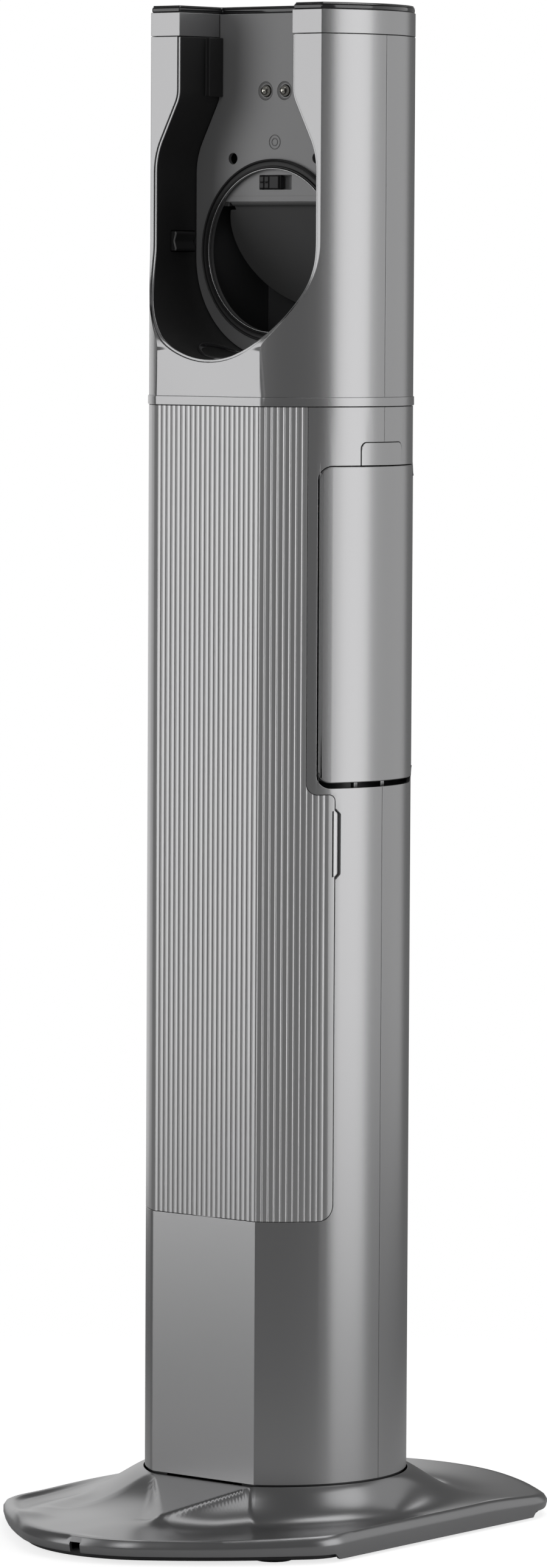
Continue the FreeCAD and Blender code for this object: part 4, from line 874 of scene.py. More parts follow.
@dataclass
class Base:
    """Oval foot: sculpted cover, dark underside, rubber feet and the gasket of the tower."""

    half_width: float = 140 * MM
    straight_front: float = -90 * MM
    straight_rear: float = 110 * MM
    nose: tuple[float, float] = (90 * MM, 35.0)
    cheek: tuple[float, float] = (411.7 * MM, 50.0)
    tail: tuple[float, float] = (130 * MM, 25.0)
    hip: tuple[float, float] = (253 * MM, 45.0)
    tip: float = 204 * MM
    collar: float = 93.5 * MM
    crown: float = 34.2 * MM
    rim: float = 18.5 * MM
    edge_low: float = 12.5 * MM
    skirt_low: float = 5.2 * MM
    side_low: float = 1.6 * MM
    apex: tuple[float, float] = (16 * MM, -129 * MM)
    apex_level: float = 20.5 * MM
    side_fall: float = 6.0 * MM
    front_fall: float = 2.5 * MM
    right_dish: float = 7.4 * MM
    left_dish: float = 3.0 * MM
    gap: float = 0.9 * MM
    spokes: int = 360
    rings: int = 64

    def outline(self) -> list[Vector]:
        """Oval outline, every few millimetres, from the right side round the front to the left and back.

        Returns:
            The points, in order round the oval.
        """
        half = []
        for (nose, turn_nose), (flank, turn_flank), end, straight in (
                (self.nose, self.cheek, -self.tip, self.straight_front),
                (self.tail, self.hip, self.tip, self.straight_rear)):
            side = 1 if end > 0 else -1
            place, heading = Vector((0.0, end)), 0.0
            walk = [place.copy()]
            reach = abs(end - straight)
            first = (nose * math.sin(math.radians(turn_nose)), nose * (1 - math.cos(math.radians(turn_nose))))
            second = (flank * (math.sin(math.radians(turn_flank)) - math.sin(math.radians(turn_nose))),
                      flank * (math.cos(math.radians(turn_nose)) - math.cos(math.radians(turn_flank))))
            corner = (reach - first[1] - second[1]) / math.cos(math.radians(turn_flank))
            for radius, until in ((nose, turn_nose), (flank, turn_flank), (corner, 90.0)):
                steps = max(3, int((until - heading) / 2.5))
                for step in range(1, steps + 1):
                    a = math.radians(heading + (until - heading) * (step - 1) / steps)
                    b = math.radians(heading + (until - heading) * step / steps)
                    place = place + radius * Vector((math.sin(b) - math.sin(a), -side * (math.cos(a) - math.cos(b))))
                    walk.append(place.copy())
                heading = until
            scale = self.half_width / walk[-1].x
            half.append([Vector((min(self.half_width, point.x * scale), point.y, 0)) for point in walk])
        right = half[0] + half[1][::-1]
        left = [Vector((-point.x, point.y, 0)) for point in right[::-1] if point.x > 1e-6]
        return right + left

    def edge_radius(self, outline: list[Vector], angle: float) -> float:
        """Distance from the tower's axis to the outline.

        Args:
            outline: Points round the oval.
            angle: Direction in degrees, 0 to the front and 90 to the right.

        Returns:
            The distance.
        """
        way = polar(1.0, angle) - AXIS
        best = 0.0
        for a, b in zip(outline, outline[1:] + outline[:1]):
            side = b - a
            wall = way.x * side.y - way.y * side.x
            if abs(wall) < 1e-12:
                continue
            gap = a - AXIS
            along = (gap.x * side.y - gap.y * side.x) / wall
            share = (gap.x * way.y - gap.y * way.x) / wall
            if along > 0 and -1e-6 <= share <= 1 + 1e-6:
                best = max(best, along)
        return best

    def facet(self, point: Vector) -> tuple[float, float]:
        """Flat apron before the tower's front face.

        Args:
            point: Place on the base.

        Returns:
            The height of the apron's plane there, and how far outside the apron the place is.
        """
        front = AXIS.y - TOWER_FLAT
        share = (front - point.y) / (front - self.apex[1])
        plane = self.crown - (self.crown - self.apex_level) * min(1.0, max(0.0, share))
        middle = self.apex[0] * share
        half = 43 * MM * (1 - share)
        if share < 1:
            return plane, max(abs(point.x - middle) - half, 0.0)
        return plane, (point - Vector((*self.apex, 0))).length

    def height(self, point: Vector, edge: float, near: float) -> float:
        """Height of the sculpted top.

        Args:
            point: Place on the base.
            edge: Distance from the axis to the outline in that direction.
            near: Distance from the axis to the tower's hole in that direction.

        Returns:
            The height.
        """
        radial = point - AXIS
        radius = math.hypot(radial.x, radial.y)
        angle = math.degrees(math.atan2(radial.x, -radial.y))
        inside = edge - radius
        right = smooth((angle + 2) / 24) * smooth((128 - angle) / 36)
        left = smooth((-angle - 8) / 26) * smooth((angle + 95) / 30)
        dish = (self.right_dish * right + self.left_dish * left) * smooth((inside - 3 * MM) / (11 * MM))
        low_side = max(smooth((-angle - 8) / 44), smooth((angle - 108) / 40))
        fall = max(self.side_fall * low_side, self.front_fall * smooth((62 - abs(angle)) / 40))
        floor = self.rim - dish - fall
        away = max(0.0, radius - near)
        spread = (8 + 17 * (1 - right) + 5 * left) * MM
        mound = (self.crown - floor) * math.exp(-(away / spread) ** 1.5)
        plane, out = self.facet(point)
        apron = 0.0
        if point.y < -50 * MM:
            apron = (plane - floor) * math.exp(-(out / (8 * MM)) ** 1.2)
        crest = self.crest(point) * 3.4 * MM * (1 - min(1, mound / (10 * MM)))
        across = ((point.x - 49 * MM) * 0.55 + (point.y - 112 * MM) * 0.83) / (9 * MM)
        along = ((point.x - 49 * MM) * 0.83 - (point.y - 112 * MM) * 0.55) / (24 * MM)
        scoop = 4.2 * MM * math.exp(-across ** 2 - along ** 2)
        top = floor + max(mound, apron) + crest - scoop
        if out < 1e-6 and point.y < AXIS.y - TOWER_FLAT:
            top = max(plane, floor)
        soft = 6 * MM
        if inside < soft:
            curve = math.sqrt(max(0.0, 1 - (1 - max(0.0, inside) / soft) ** 2))
            foot = self.edge_low - 0.6 * fall
            top = foot + (top - foot) * curve
        return min(top, self.crown)

    def inner_radius(self, angle: float) -> float:
        """Edge of the hole that the tower stands in: round, with a flat front.

        Args:
            angle: Direction in degrees.

        Returns:
            The distance from the tower's axis.
        """
        round_edge = TOWER_RADIUS + self.gap
        if abs(angle) > 60:
            return round_edge
        return min(round_edge, (TOWER_FLAT + self.gap) / math.cos(math.radians(angle)))

    @staticmethod
    def crest(point: Vector) -> float:
        """Soft ridge that runs from the tower's left side towards the front."""
        path = [(-84, -38), (-88, -70), (-92, -98), (-86, -126), (-68, -160)]
        near = 1.0
        for (ax, ay), (bx, by) in zip(path, path[1:]):
            a, b = Vector((ax, ay, 0)) * MM, Vector((bx, by, 0)) * MM
            flat = Vector((point.x, point.y, 0))
            share = min(1.0, max(0.0, (flat - a).dot(b - a) / (b - a).length_squared))
            near = min(near, (flat - a - (b - a) * share).length)
        return math.exp(-(near / (13 * MM)) ** 2)

    def cover(self) -> Piece:
        """Sculpted silver cover with its skirt.

        Returns:
            The piece.
        """
        outline = self.outline()
        bpy.ops.mesh.primitive_circle_add(vertices=self.spokes, radius=self.collar, location=AXIS)
        item = Bench.settle(Bench.named("base_cover_skin"))
        angles = [math.degrees(math.atan2((v.co - AXIS).x, -(v.co - AXIS).y)) for v in item.data.vertices]
        reach = [self.edge_radius(outline, angle) for angle in angles]
        shape = Bench.edit(item)
        bpy.ops.mesh.select_all(action="SELECT")
        for ring in range(self.rings + 1):
            share = ring / self.rings
            share = share + 0.10 * math.sin(2 * math.pi * share) / 2
            shape = bmesh.from_edit_mesh(item.data)
            chosen = [vert for vert in shape.verts if vert.select]
            for number, vert in enumerate(sorted(chosen, key=lambda v: v.index)):
                near = self.inner_radius(angles[number])
                radius = near + (reach[number] - near) * share
                vert.co = polar(radius, angles[number])
                vert.co.z = self.height(vert.co, reach[number], near)
            bmesh.update_edit_mesh(item.data)
            if ring < self.rings:
                bpy.ops.mesh.extrude_edges_move(TRANSFORM_OT_translate={"value": (0, 0, 0)})
        self.skirt(item, angles)
        bpy.ops.mesh.select_all(action="SELECT")
        bpy.ops.mesh.normals_make_consistent(inside=False)
        Bench.done()
        if item.data.polygons[0].normal.z < 0:
            item.data.flip_normals()
        Bench.modify(item, "SOLIDIFY", thickness=2.4 * MM, offset=-1.0)
        Bench.carve(item, [Bench.block("skirt_notch", (3.5 * MM, -212 * MM, -2 * MM), (11.5 * MM, -190 * MM, 12 * MM))])
        Bench.only(item)
        bpy.ops.object.shade_smooth_by_angle(angle=math.radians(42))
        return item

    def skirt(self, item: Piece, angles: list[float]) -> None:
        """Draw the skirt down from the rim, lower along both sides.

        Args:
            item: Cover in edit mode, its rim selected.
            angles: Direction of each spoke; not used.
        """
        for drop in range(3):
            bpy.ops.mesh.extrude_edges_move(TRANSFORM_OT_translate={"value": (0, 0, 0)})
            shape = bmesh.from_edit_mesh(item.data)
            chosen = sorted((vert for vert in shape.verts if vert.select), key=lambda v: v.index)
            for vert in chosen:
                side = -98 * MM < vert.co.y < 112 * MM
                foot = self.side_low if side else self.skirt_low
                way = Vector((vert.co.x - AXIS.x, vert.co.y - AXIS.y, 0)).normalized()
                vert.co.z = (min(vert.co.z, self.edge_low) - 1.5 * MM, self.skirt_low + 1 * MM, foot)[drop]
                vert.co -= way * (0.0, 0.6 * MM, 0.5 * MM)[drop]
            bmesh.update_edit_mesh(item.data)

    def build(self) -> None:
        """Model and dress the whole foot."""
        Bench.dress(self.cover(), PALETTE.base, Body.TOWER, Slot.BASE, "base_cover")
        Bench.eased("base_plate", PALETTE.under, Body.TOWER, Slot.UNDER, 1.2 * MM, 3)
        Bench.dress(self.feet(), PALETTE.foot, Body.TOWER, Slot.FOOT, "rubber_feet")
        Bench.eased("foot_gasket", PALETTE.rubber, Body.TOWER, Slot.SEAL, 0.5 * MM)
        Bench.eased("base_ballast", PALETTE.iron, Body.TOWER, Slot.IRON, 1.0 * MM)
        Bench.keep("base_screws", PALETTE.steel)

    def feet(self) -> Piece:
        """Four rubber feet with two grip rings each.

        Returns:
            The piece.
        """
        low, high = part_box("rubber_feet")
        radius = 13.9 * MM
        profile = [(0, 0.5), (4, 0.5), (4.6, 0), (7, 0), (7.6, 0.5), (9, 0.5), (9.6, 0), (12.2, 0), (13.6, 0.9),
                   (13.9, 2), (13.9, 4), (0, 4)]
        first = Bench.turned("foot", [(r * MM, z * MM) for r, z in profile],
                             Vector((high.x - radius, low.y + radius, 0)))
        feet = [first]
        for x, y in ((low.x + radius, low.y + radius), (high.x - radius, high.y - radius),
                     (low.x + radius, high.y - radius)):
            move = Vector((x - high.x + radius, y - low.y - radius, 0))
            feet.append(Bench.twin(first, "foot", move))
        item = Bench.join(feet, "rubber_feet_skin")
        return Bench.soften(item, 0.0)


# ---------------------------------------------------------------- body and storage door


def split_shell(node: str, rounding: float) -> Piece:
    """Shell half with a hairline gap where the halves meet.

    Args:
        node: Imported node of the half.
        rounding: Width of the rounding of its edges.

    Returns:
        The piece.
    """
    low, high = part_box(node)
    item = Bench.from_node(node, node + "_skin")
    Bench.carve(item, [Bench.block("hairline", (side - 20 * MM, AXIS.y - 0.15 * MM, low.z - MM),
                                   (side + 20 * MM, AXIS.y + 0.15 * MM, high.z + MM)) for side in (-85 * MM, 85 * MM)])
    Bench.soften(item, rounding)
    return Bench.dress(item, PALETTE.shell, Body.TOWER, Slot.SHELL, node)


@dataclass
class Shells:
    """Front and rear shells, belt, rear grille and inlet."""

    rounding: float = 0.2 * MM

    def build(self) -> None:
        """Ease the edges of the shells and dress them."""
        for node in ("front_shell", "rear_shell"):
            split_shell(node, self.rounding)
        Bench.eased("belt_band", PALETTE.shell, Body.TOWER, Slot.SHELL, 0.45 * MM)
        Bench.eased("grip_insert", PALETTE.bright, Body.TOWER, Slot.SHELL, 0.3 * MM)
        Bench.eased("exhaust_grille", PALETTE.shell, Body.TOWER, Slot.SHELL, 0.5 * MM)
        Bench.eased("power_inlet", PALETTE.under, Body.TOWER, Slot.UNDER, 0.4 * MM)


@dataclass
class StorageDoor:
    """Ribbed door of the accessory store, with its barrel, magnets and store."""

    radius: float = TOWER_RADIUS
    flat: float = TOWER_FLAT
    pitch: float = 4.107 * MM
    depth: float = 0.5 * MM
    shares: tuple[float, ...] = (0.0, 0.04, 0.08, 0.12, 0.17, 0.24, 0.5, 0.76, 0.83, 0.88, 0.92, 0.96)
    front_ribs: int = 21
    side_ribs: int = 11
    left: float = -60.6
    right: float = 64.4

    def section(self) -> list[Vector]:
        """Ribbed cross section of the door's skin.

        Returns:
            The outline, first the ribbed outside from left to right, then the inside back.
        """
        corner = math.degrees(math.acos(self.flat / self.radius))
        half = math.sqrt(self.radius ** 2 - self.flat ** 2)
        outside = [polar(self.radius, self.left + (-corner - self.left) * step / 12) for step in range(12)]
        clear = 0.02 * MM
        for rib in range(self.front_ribs):
            for share in self.shares:
                x = -half + 2 * half * (rib + share) / self.front_ribs
                outside.append(Vector((x, AXIS.y - self.flat + clear + self.groove(share), 0)))
        turn = math.degrees(self.pitch / self.radius)
        for rib in range(self.side_ribs):
            for share in self.shares:
                outside.append(polar(self.radius - clear - self.groove(share), corner + (rib + share) * turn))
        last = corner + self.side_ribs * turn
        outside += [polar(self.radius - clear, last + (self.right - last) * step / 4) for step in range(1, 5)]
        inside = [polar(self.radius - 16 * MM, self.right + (self.left - self.right) * step / 24) for step in range(25)]
        return outside + inside

    def groove(self, share: float) -> float:
        """Depth below a rib's crest.

        Args:
            share: Place across the rib, 0 to 1.

        Returns:
            The depth.
        """
        return self.depth * (0.5 + 0.5 * math.cos(2 * math.pi * share)) ** 6

    def skin(self) -> Piece:
        """Ribbed panel cut to the door's own outline.

        Returns:
            The piece.
        """
        low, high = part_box("storage_door")
        ribs = Bench.slab("door_ribs", [p + UP * (low.z - 5 * MM) for p in self.section()],
                          UP * (high.z - low.z + 10 * MM))
        item = Bench.from_node("storage_door", "storage_door_skin")
        Bench.carve(item, [ribs], "INTERSECT")
        thumb = Bench.rod("thumb_scoop", tuple(polar(88.5 * MM, 66.5, 455 * MM)), 6.2 * MM, 43 * MM, (0, 0, 1), 48)
        Bench.carve(item, [thumb])
        Bench.only(item)
        bpy.ops.object.shade_smooth_by_angle(angle=math.radians(38))
        return item

    def build(self) -> None:
        """Model and dress the door and what it hides."""
        Bench.dress(self.skin(), PALETTE.door, Body.DOOR, Slot.DOOR, "storage_door")
        Bench.eased("storage_bay", PALETTE.inner, Body.TOWER, Slot.INNER, 0.6 * MM)
        Bench.eased("accessory_posts", PALETTE.inner, Body.TOWER, Slot.INNER, 0.5 * MM)
        for node in ("door_pins", "door_magnets"):
            Bench.keep(node, PALETTE.steel)
        for node in ("lower_deck", "motor_deck", "bag_deck", "head_deck"):
            Bench.keep(node, PALETTE.inner)


# ---------------------------------------------------------------- head


@dataclass
class Head:
    """Leaning head shells, crown, glossy cap, start button and light."""

    rounding: float = 0.2 * MM

    def button(self) -> Piece:
        """Round start button with a dished top and a fine ring.

        Returns:
            The piece.
        """
        low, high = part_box("start_button")
        centre = (low + high) / 2
        top = high.z
        profile = [(0, -0.9), (2.5, -0.8), (5.2, -0.35), (6.2, -0.05), (6.5, -0.3), (6.8, -0.05), (8.2, 0),
                   (8.8, -0.25), (9.0, -0.8), (9.0, -3.4), (6, -3.4), (6, -8.2), (0, -8.2)]
        item = Bench.turned("start_button_skin", [(r * MM, top + z * MM) for r, z in profile],
                            Vector((centre.x, centre.y, 0)))
        return Bench.soften(item, 0.0, angle=50)

    def build(self) -> None:
        """Ease and dress the head."""
        split_shell("head_front_shell", self.rounding)
        split_shell("head_rear_shell", self.rounding)
        Bench.eased("crown_band", PALETTE.shell, Body.TOWER, Slot.SHELL, 0.4 * MM)
        Bench.eased("top_cap", PALETTE.cap, Body.TOWER, Slot.CAP, 1.1 * MM, 4)
        Bench.dress(self.button(), PALETTE.cap, Body.BUTTON, Slot.CAP, "start_button")
        Bench.eased("status_lens", PALETTE.lens, Body.TOWER, Slot.LENS, 0.5 * MM)


@dataclass
class Cradle:
    """Black lining, silver docking plate with its ring mark, and the trough's oval lip."""

    mark_level: float = 911 * MM
    mark_radii: tuple[float, float] = (4.4 * MM, 2.2 * MM)
    trough_centre: float = 836 * MM
    trough_radius: float = 67 * MM
    lip_half: tuple[float, float] = (33 * MM, 25 * MM)
    lip_middle: float = -27 * MM

    def plate(self) -> Piece:
        """Docking plate with its holes' rims and an engraved ring mark.

        Returns:
            The piece.
        """
        item = Bench.from_node("dock_plate", "dock_plate_skin")
        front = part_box("dock_plate")[0].y
        rings = []
        for number, radius in enumerate(self.mark_radii):
            outer = radius + 0.35 * MM
            profile = [(radius, -0.6 * MM), (outer, -0.6 * MM), (outer, 0.35 * MM), (radius, 0.35 * MM),
                       (radius, -0.6 * MM)]
            rings.append(Bench.turned(f"mark_{number}", profile, Vector((0, front, self.mark_level)), (0, 1, 0), 40))
        Bench.carve(item, rings)
        return Bench.soften(item, 0.35 * MM, 2)

    def lip(self) -> Piece:
        """Oval lip that follows the trough's round floor before the port.

        Returns:
            The piece.
        """
        bpy.ops.mesh.primitive_torus_add(major_segments=96, minor_segments=12, major_radius=1.0, minor_radius=0.06)
        item = Bench.named("trough_lip")
        half_x, half_y = self.lip_half

        def lay(point: Vector) -> Vector:
            """Lay a point of the ring on the round floor."""
            flat = Vector((point.x, point.y))
            x, y = flat.x * half_x, self.lip_middle + flat.y * half_y
            floor = self.trough_centre - math.sqrt(self.trough_radius ** 2 - x * x)
            return Vector((x, y, floor + point.z * 26 * MM + 0.1 * MM))

        Bench.scatter(item, lay)
        return Bench.soften(item, 0.0, angle=60)

    def lining(self) -> Piece:
        """Black lining whose front edge is painted like the shell round it.

        Returns:
            The piece.
        """
        item = Bench.from_node("cradle_liner", "cradle_liner_skin")
        Bench.soften(item, 0.6 * MM, 3)
        Bench.dress(item, PALETTE.cradle, Body.TOWER, Slot.CRADLE, "cradle_liner")
        item.data.materials.append(PALETTE.shell.material())
        for face in item.data.polygons:
            if face.normal.y < -0.3 and face.center.y < -25 * MM:
                face.material_index = 1
        return item

    def build(self) -> None:
        """Model and dress the cradle."""
        self.lining()
        Bench.dress(self.lip(), PALETTE.cap, Body.TOWER, Slot.CRADLE)
        Bench.dress(self.plate(), PALETTE.plate, Body.TOWER, Slot.SHELL, "dock_plate")


@dataclass
class DustPort:
    """Round dust port: ring seal, bridge, slider, flap, duct and pipe."""

    centre: Vector = field(default_factory=lambda: Vector((0, 2 * MM, 840 * MM)))
    notch: float = 18 * MM
    outer: float = 60 * MM

    def seal(self) -> Piece:
        """Ring seal with two lips and a channel, open at its foot.

        Returns:
            The piece.
        """
        gap = math.degrees(math.asin(self.notch / (self.outer - 3 * MM)))
        profile = [(54.0, 0.0), (54.0, 2.3), (54.5, 3.0), (55.2, 2.8), (55.5, 1.5), (57.0, 1.1), (58.4, 1.6),
                   (58.8, 2.7), (59.4, 3.0), (60.0, 2.4), (60.0, 0.0), (54.0, 0.0)]
        item = Bench.turned("port_seal_skin", [(r * MM, z * MM) for r, z in profile], self.centre, (0, -1, 0), 120,
                            360 - 2 * gap, gap - 90)
        return Bench.soften(Bench.closed(item), 0.0, angle=40)

    def bezel(self) -> Piece:
        """Slim bright ring inside the seal's inner lip.

        Returns:
            The piece.
        """
        gap = math.degrees(math.asin(self.notch / (self.outer - 3 * MM)))
        profile = [(53.3, 1.2), (53.3, 2.9), (53.5, 3.1), (53.8, 3.1), (53.95, 2.9), (53.95, 1.2), (53.3, 1.2)]
        item = Bench.turned("port_bezel", [(r * MM, z * MM) for r, z in profile], self.centre, (0, -1, 0), 120,
                            360 - 2 * gap, gap - 90)
        return Bench.soften(Bench.closed(item), 0.0, angle=40)

    def slider(self) -> Piece:
        """Unlocking slider: a block with four nubs and a square cap.

        Returns:
            The piece.
        """
        low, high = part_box("port_slider")
        front, foot, head = low.y, 880.4 * MM, 889.0 * MM
        mid = (foot + head) / 2
        parts = [Bench.block("slider_body", (low.x, front + 1.9 * MM, foot), (high.x, front + 5.2 * MM, head)),
                 Bench.block("slider_heel", (low.x + 3 * MM, front + 5 * MM, low.z), (high.x - 3 * MM, high.y, high.z))]
        for column in range(2):
            for row in range(2):
                x = low.x + (0.5 + 4.2 * column) * MM
                z = mid + (-3.9 + 4.1 * row) * MM
                parts.append(Bench.block("nub", (x, front + 0.5 * MM, z),
                                         (x + 3.7 * MM, front + 2.4 * MM, z + 3.7 * MM)))
        parts.append(Bench.block("cap", (high.x - 8.4 * MM, front, foot + 0.2 * MM),
                                 (high.x - 0.6 * MM, front + 3 * MM, head - 0.2 * MM)))
        return Bench.soften(Bench.join(parts, "port_slider_skin"), 0.55 * MM, 3, clamp=True)

    def flap(self) -> Piece:
        """Hinged flap with a softly rounded rim.

        Returns:
            The piece.
        """
        return Bench.soften(Bench.from_node("port_flap", "port_flap_skin"), 0.9 * MM, 3)

    def bridge(self) -> Piece:
        """Bridge over the flap, with an apron before the hinge and a backing behind the slot.

        Returns:
            The piece.
        """
        low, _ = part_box("port_bridge")
        outline = [(-40.2, 876.2), (-43.2, 872.0), (43.2, 872.0), (40.2, 876.2)]
        apron = Bench.slab("apron", [Vector((x * MM, low.y + 0.02 * MM, z * MM)) for x, z in outline],
                           Vector((0, 0.75 * MM, 0)))
        backing = Bench.block("backing", (-14.2 * MM, 8.8 * MM, 878.5 * MM), (14.2 * MM, 9.6 * MM, 891.0 * MM))
        item = Bench.join([Bench.from_node("port_bridge", "bridge"), apron, backing], "port_bridge_skin")
        return Bench.soften(item, 0.3 * MM, 2)

    def build(self) -> None:
        """Model and dress the port."""
        Bench.dress(self.seal(), PALETTE.rubber, Body.TOWER, Slot.SEAL, "port_seal")
        Bench.dress(self.bridge(), PALETTE.plate, Body.TOWER, Slot.SHELL, "port_bridge")
        Bench.dress(self.bezel(), PALETTE.bright, Body.TOWER, Slot.SHELL)
        Bench.dress(self.slider(), PALETTE.under, Body.SLIDER, Slot.UNDER, "port_slider")
        Bench.dress(self.flap(), PALETTE.flap, Body.FLAP, Slot.FLAP, "port_flap")
        Bench.keep("flap_hinge", PALETTE.steel)
        Bench.eased("port_duct", PALETTE.inner, Body.TOWER, Slot.INNER, 0.6 * MM)
        Bench.eased("suction_pipe", PALETTE.inner, Body.TOWER, Slot.INNER, 0.5 * MM)


@dataclass
class Holding:
    """Clamp pads and charging contacts that hold the docked cleaner."""

    notch: float = 1.7 * MM
    clear: float = 3 * MM

    def clamp(self) -> Piece:
        """Left clamp pad with its notched tip.

        Returns:
            The piece.
        """
        low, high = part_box("left_clamp")
        mid = (low.z + high.z) / 2
        outline = [(low.x, low.z), (high.x - 1.0 * MM, low.z), (high.x, low.z + 1.4 * MM), (high.x - self.notch, mid),
                   (high.x, high.z - 1.4 * MM), (high.x - 1.0 * MM, high.z), (low.x, high.z)]
        item = Bench.slab("left_clamp_skin", [Vector((x, low.y, z)) for x, z in outline],
                          Vector((0, high.y - low.y, 0)))

        def draw_back(point: Vector) -> Vector:
            """Draw the rear of the tip back, clear of the seal at full travel."""
            behind = point.x > high.x - self.clear and point.y > low.y + MM
            return point - Vector((self.clear if behind else 0, 0, 0))

        Bench.scatter(item, draw_back)
        return Bench.soften(item, 0.9 * MM, 3, 25, clamp=True)

    @staticmethod
    def paint_tip_highlight(item: Piece) -> None:
        """Paint a highlight onto the rounded front edge of a pad's tip: a lighter grey on its faces that face inward
        and forward.
        """
        item.data.materials.append(PALETTE.tip.material())
        front = min(vert.co.y for vert in item.data.vertices) + 1.0 * MM
        for face in item.data.polygons:
            inward = face.normal.x * -math.copysign(1, face.center.x)
            if face.center.y < front and inward > 0.2 and face.normal.y < -0.1:
                face.material_index = 1

    def contact(self) -> Piece:
        """Left sprung contact: round head, collar and stem.

        Returns:
            The piece.
        """
        low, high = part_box("left_contact")
        x, z = (low.x + high.x) / 2, (low.z + high.z) / 2
        depth = high.y - low.y
        profile = [(0, 0), (1.3, 0.25), (2.4, 0.95), (3.1, 2.0), (3.5, 3.5), (3.5, 5.2), (3.1, 5.6), (2.4, 5.7),
                   (2.4, depth / MM), (0, depth / MM)]
        item = Bench.turned("left_contact_skin", [(r * MM, y * MM) for r, y in profile],
                            Vector((x, low.y, z)), (0, 1, 0), 40)
        return Bench.soften(item, 0.0, angle=40)

    def build(self) -> None:
        """Model and dress what holds the cleaner."""
        left = self.clamp()
        right = Bench.flip(left, "right_clamp_skin")
        Bench.soften(right, 0.0)
        Bench.dress(left, PALETTE.under, Body.LEFT_CLAMP, Slot.UNDER, "left_clamp")
        Bench.dress(right, PALETTE.under, Body.RIGHT_CLAMP, Slot.UNDER, "right_clamp")
        # Paint a highlight, as a lighter grey, on the front edge of both pads' tips.
        for pad in (left, right):
            self.paint_tip_highlight(pad)
        contact = self.contact()
        twin = Bench.flip(contact, "right_contact_skin")
        Bench.soften(twin, 0.0, angle=40)
        Bench.dress(contact, PALETTE.contact, Body.LEFT_CONTACT, Slot.CONTACT, "left_contact")
        Bench.dress(twin, PALETTE.contact, Body.RIGHT_CONTACT, Slot.CONTACT, "right_contact")
        Bench.eased("contact_rings", PALETTE.plate, Body.TOWER, Slot.SHELL, 0.4 * MM)
        Bench.keep("contact_block", PALETTE.under)
        Bench.keep("clamp_guides", PALETTE.inner)


# ---------------------------------------------------------------- dust bag


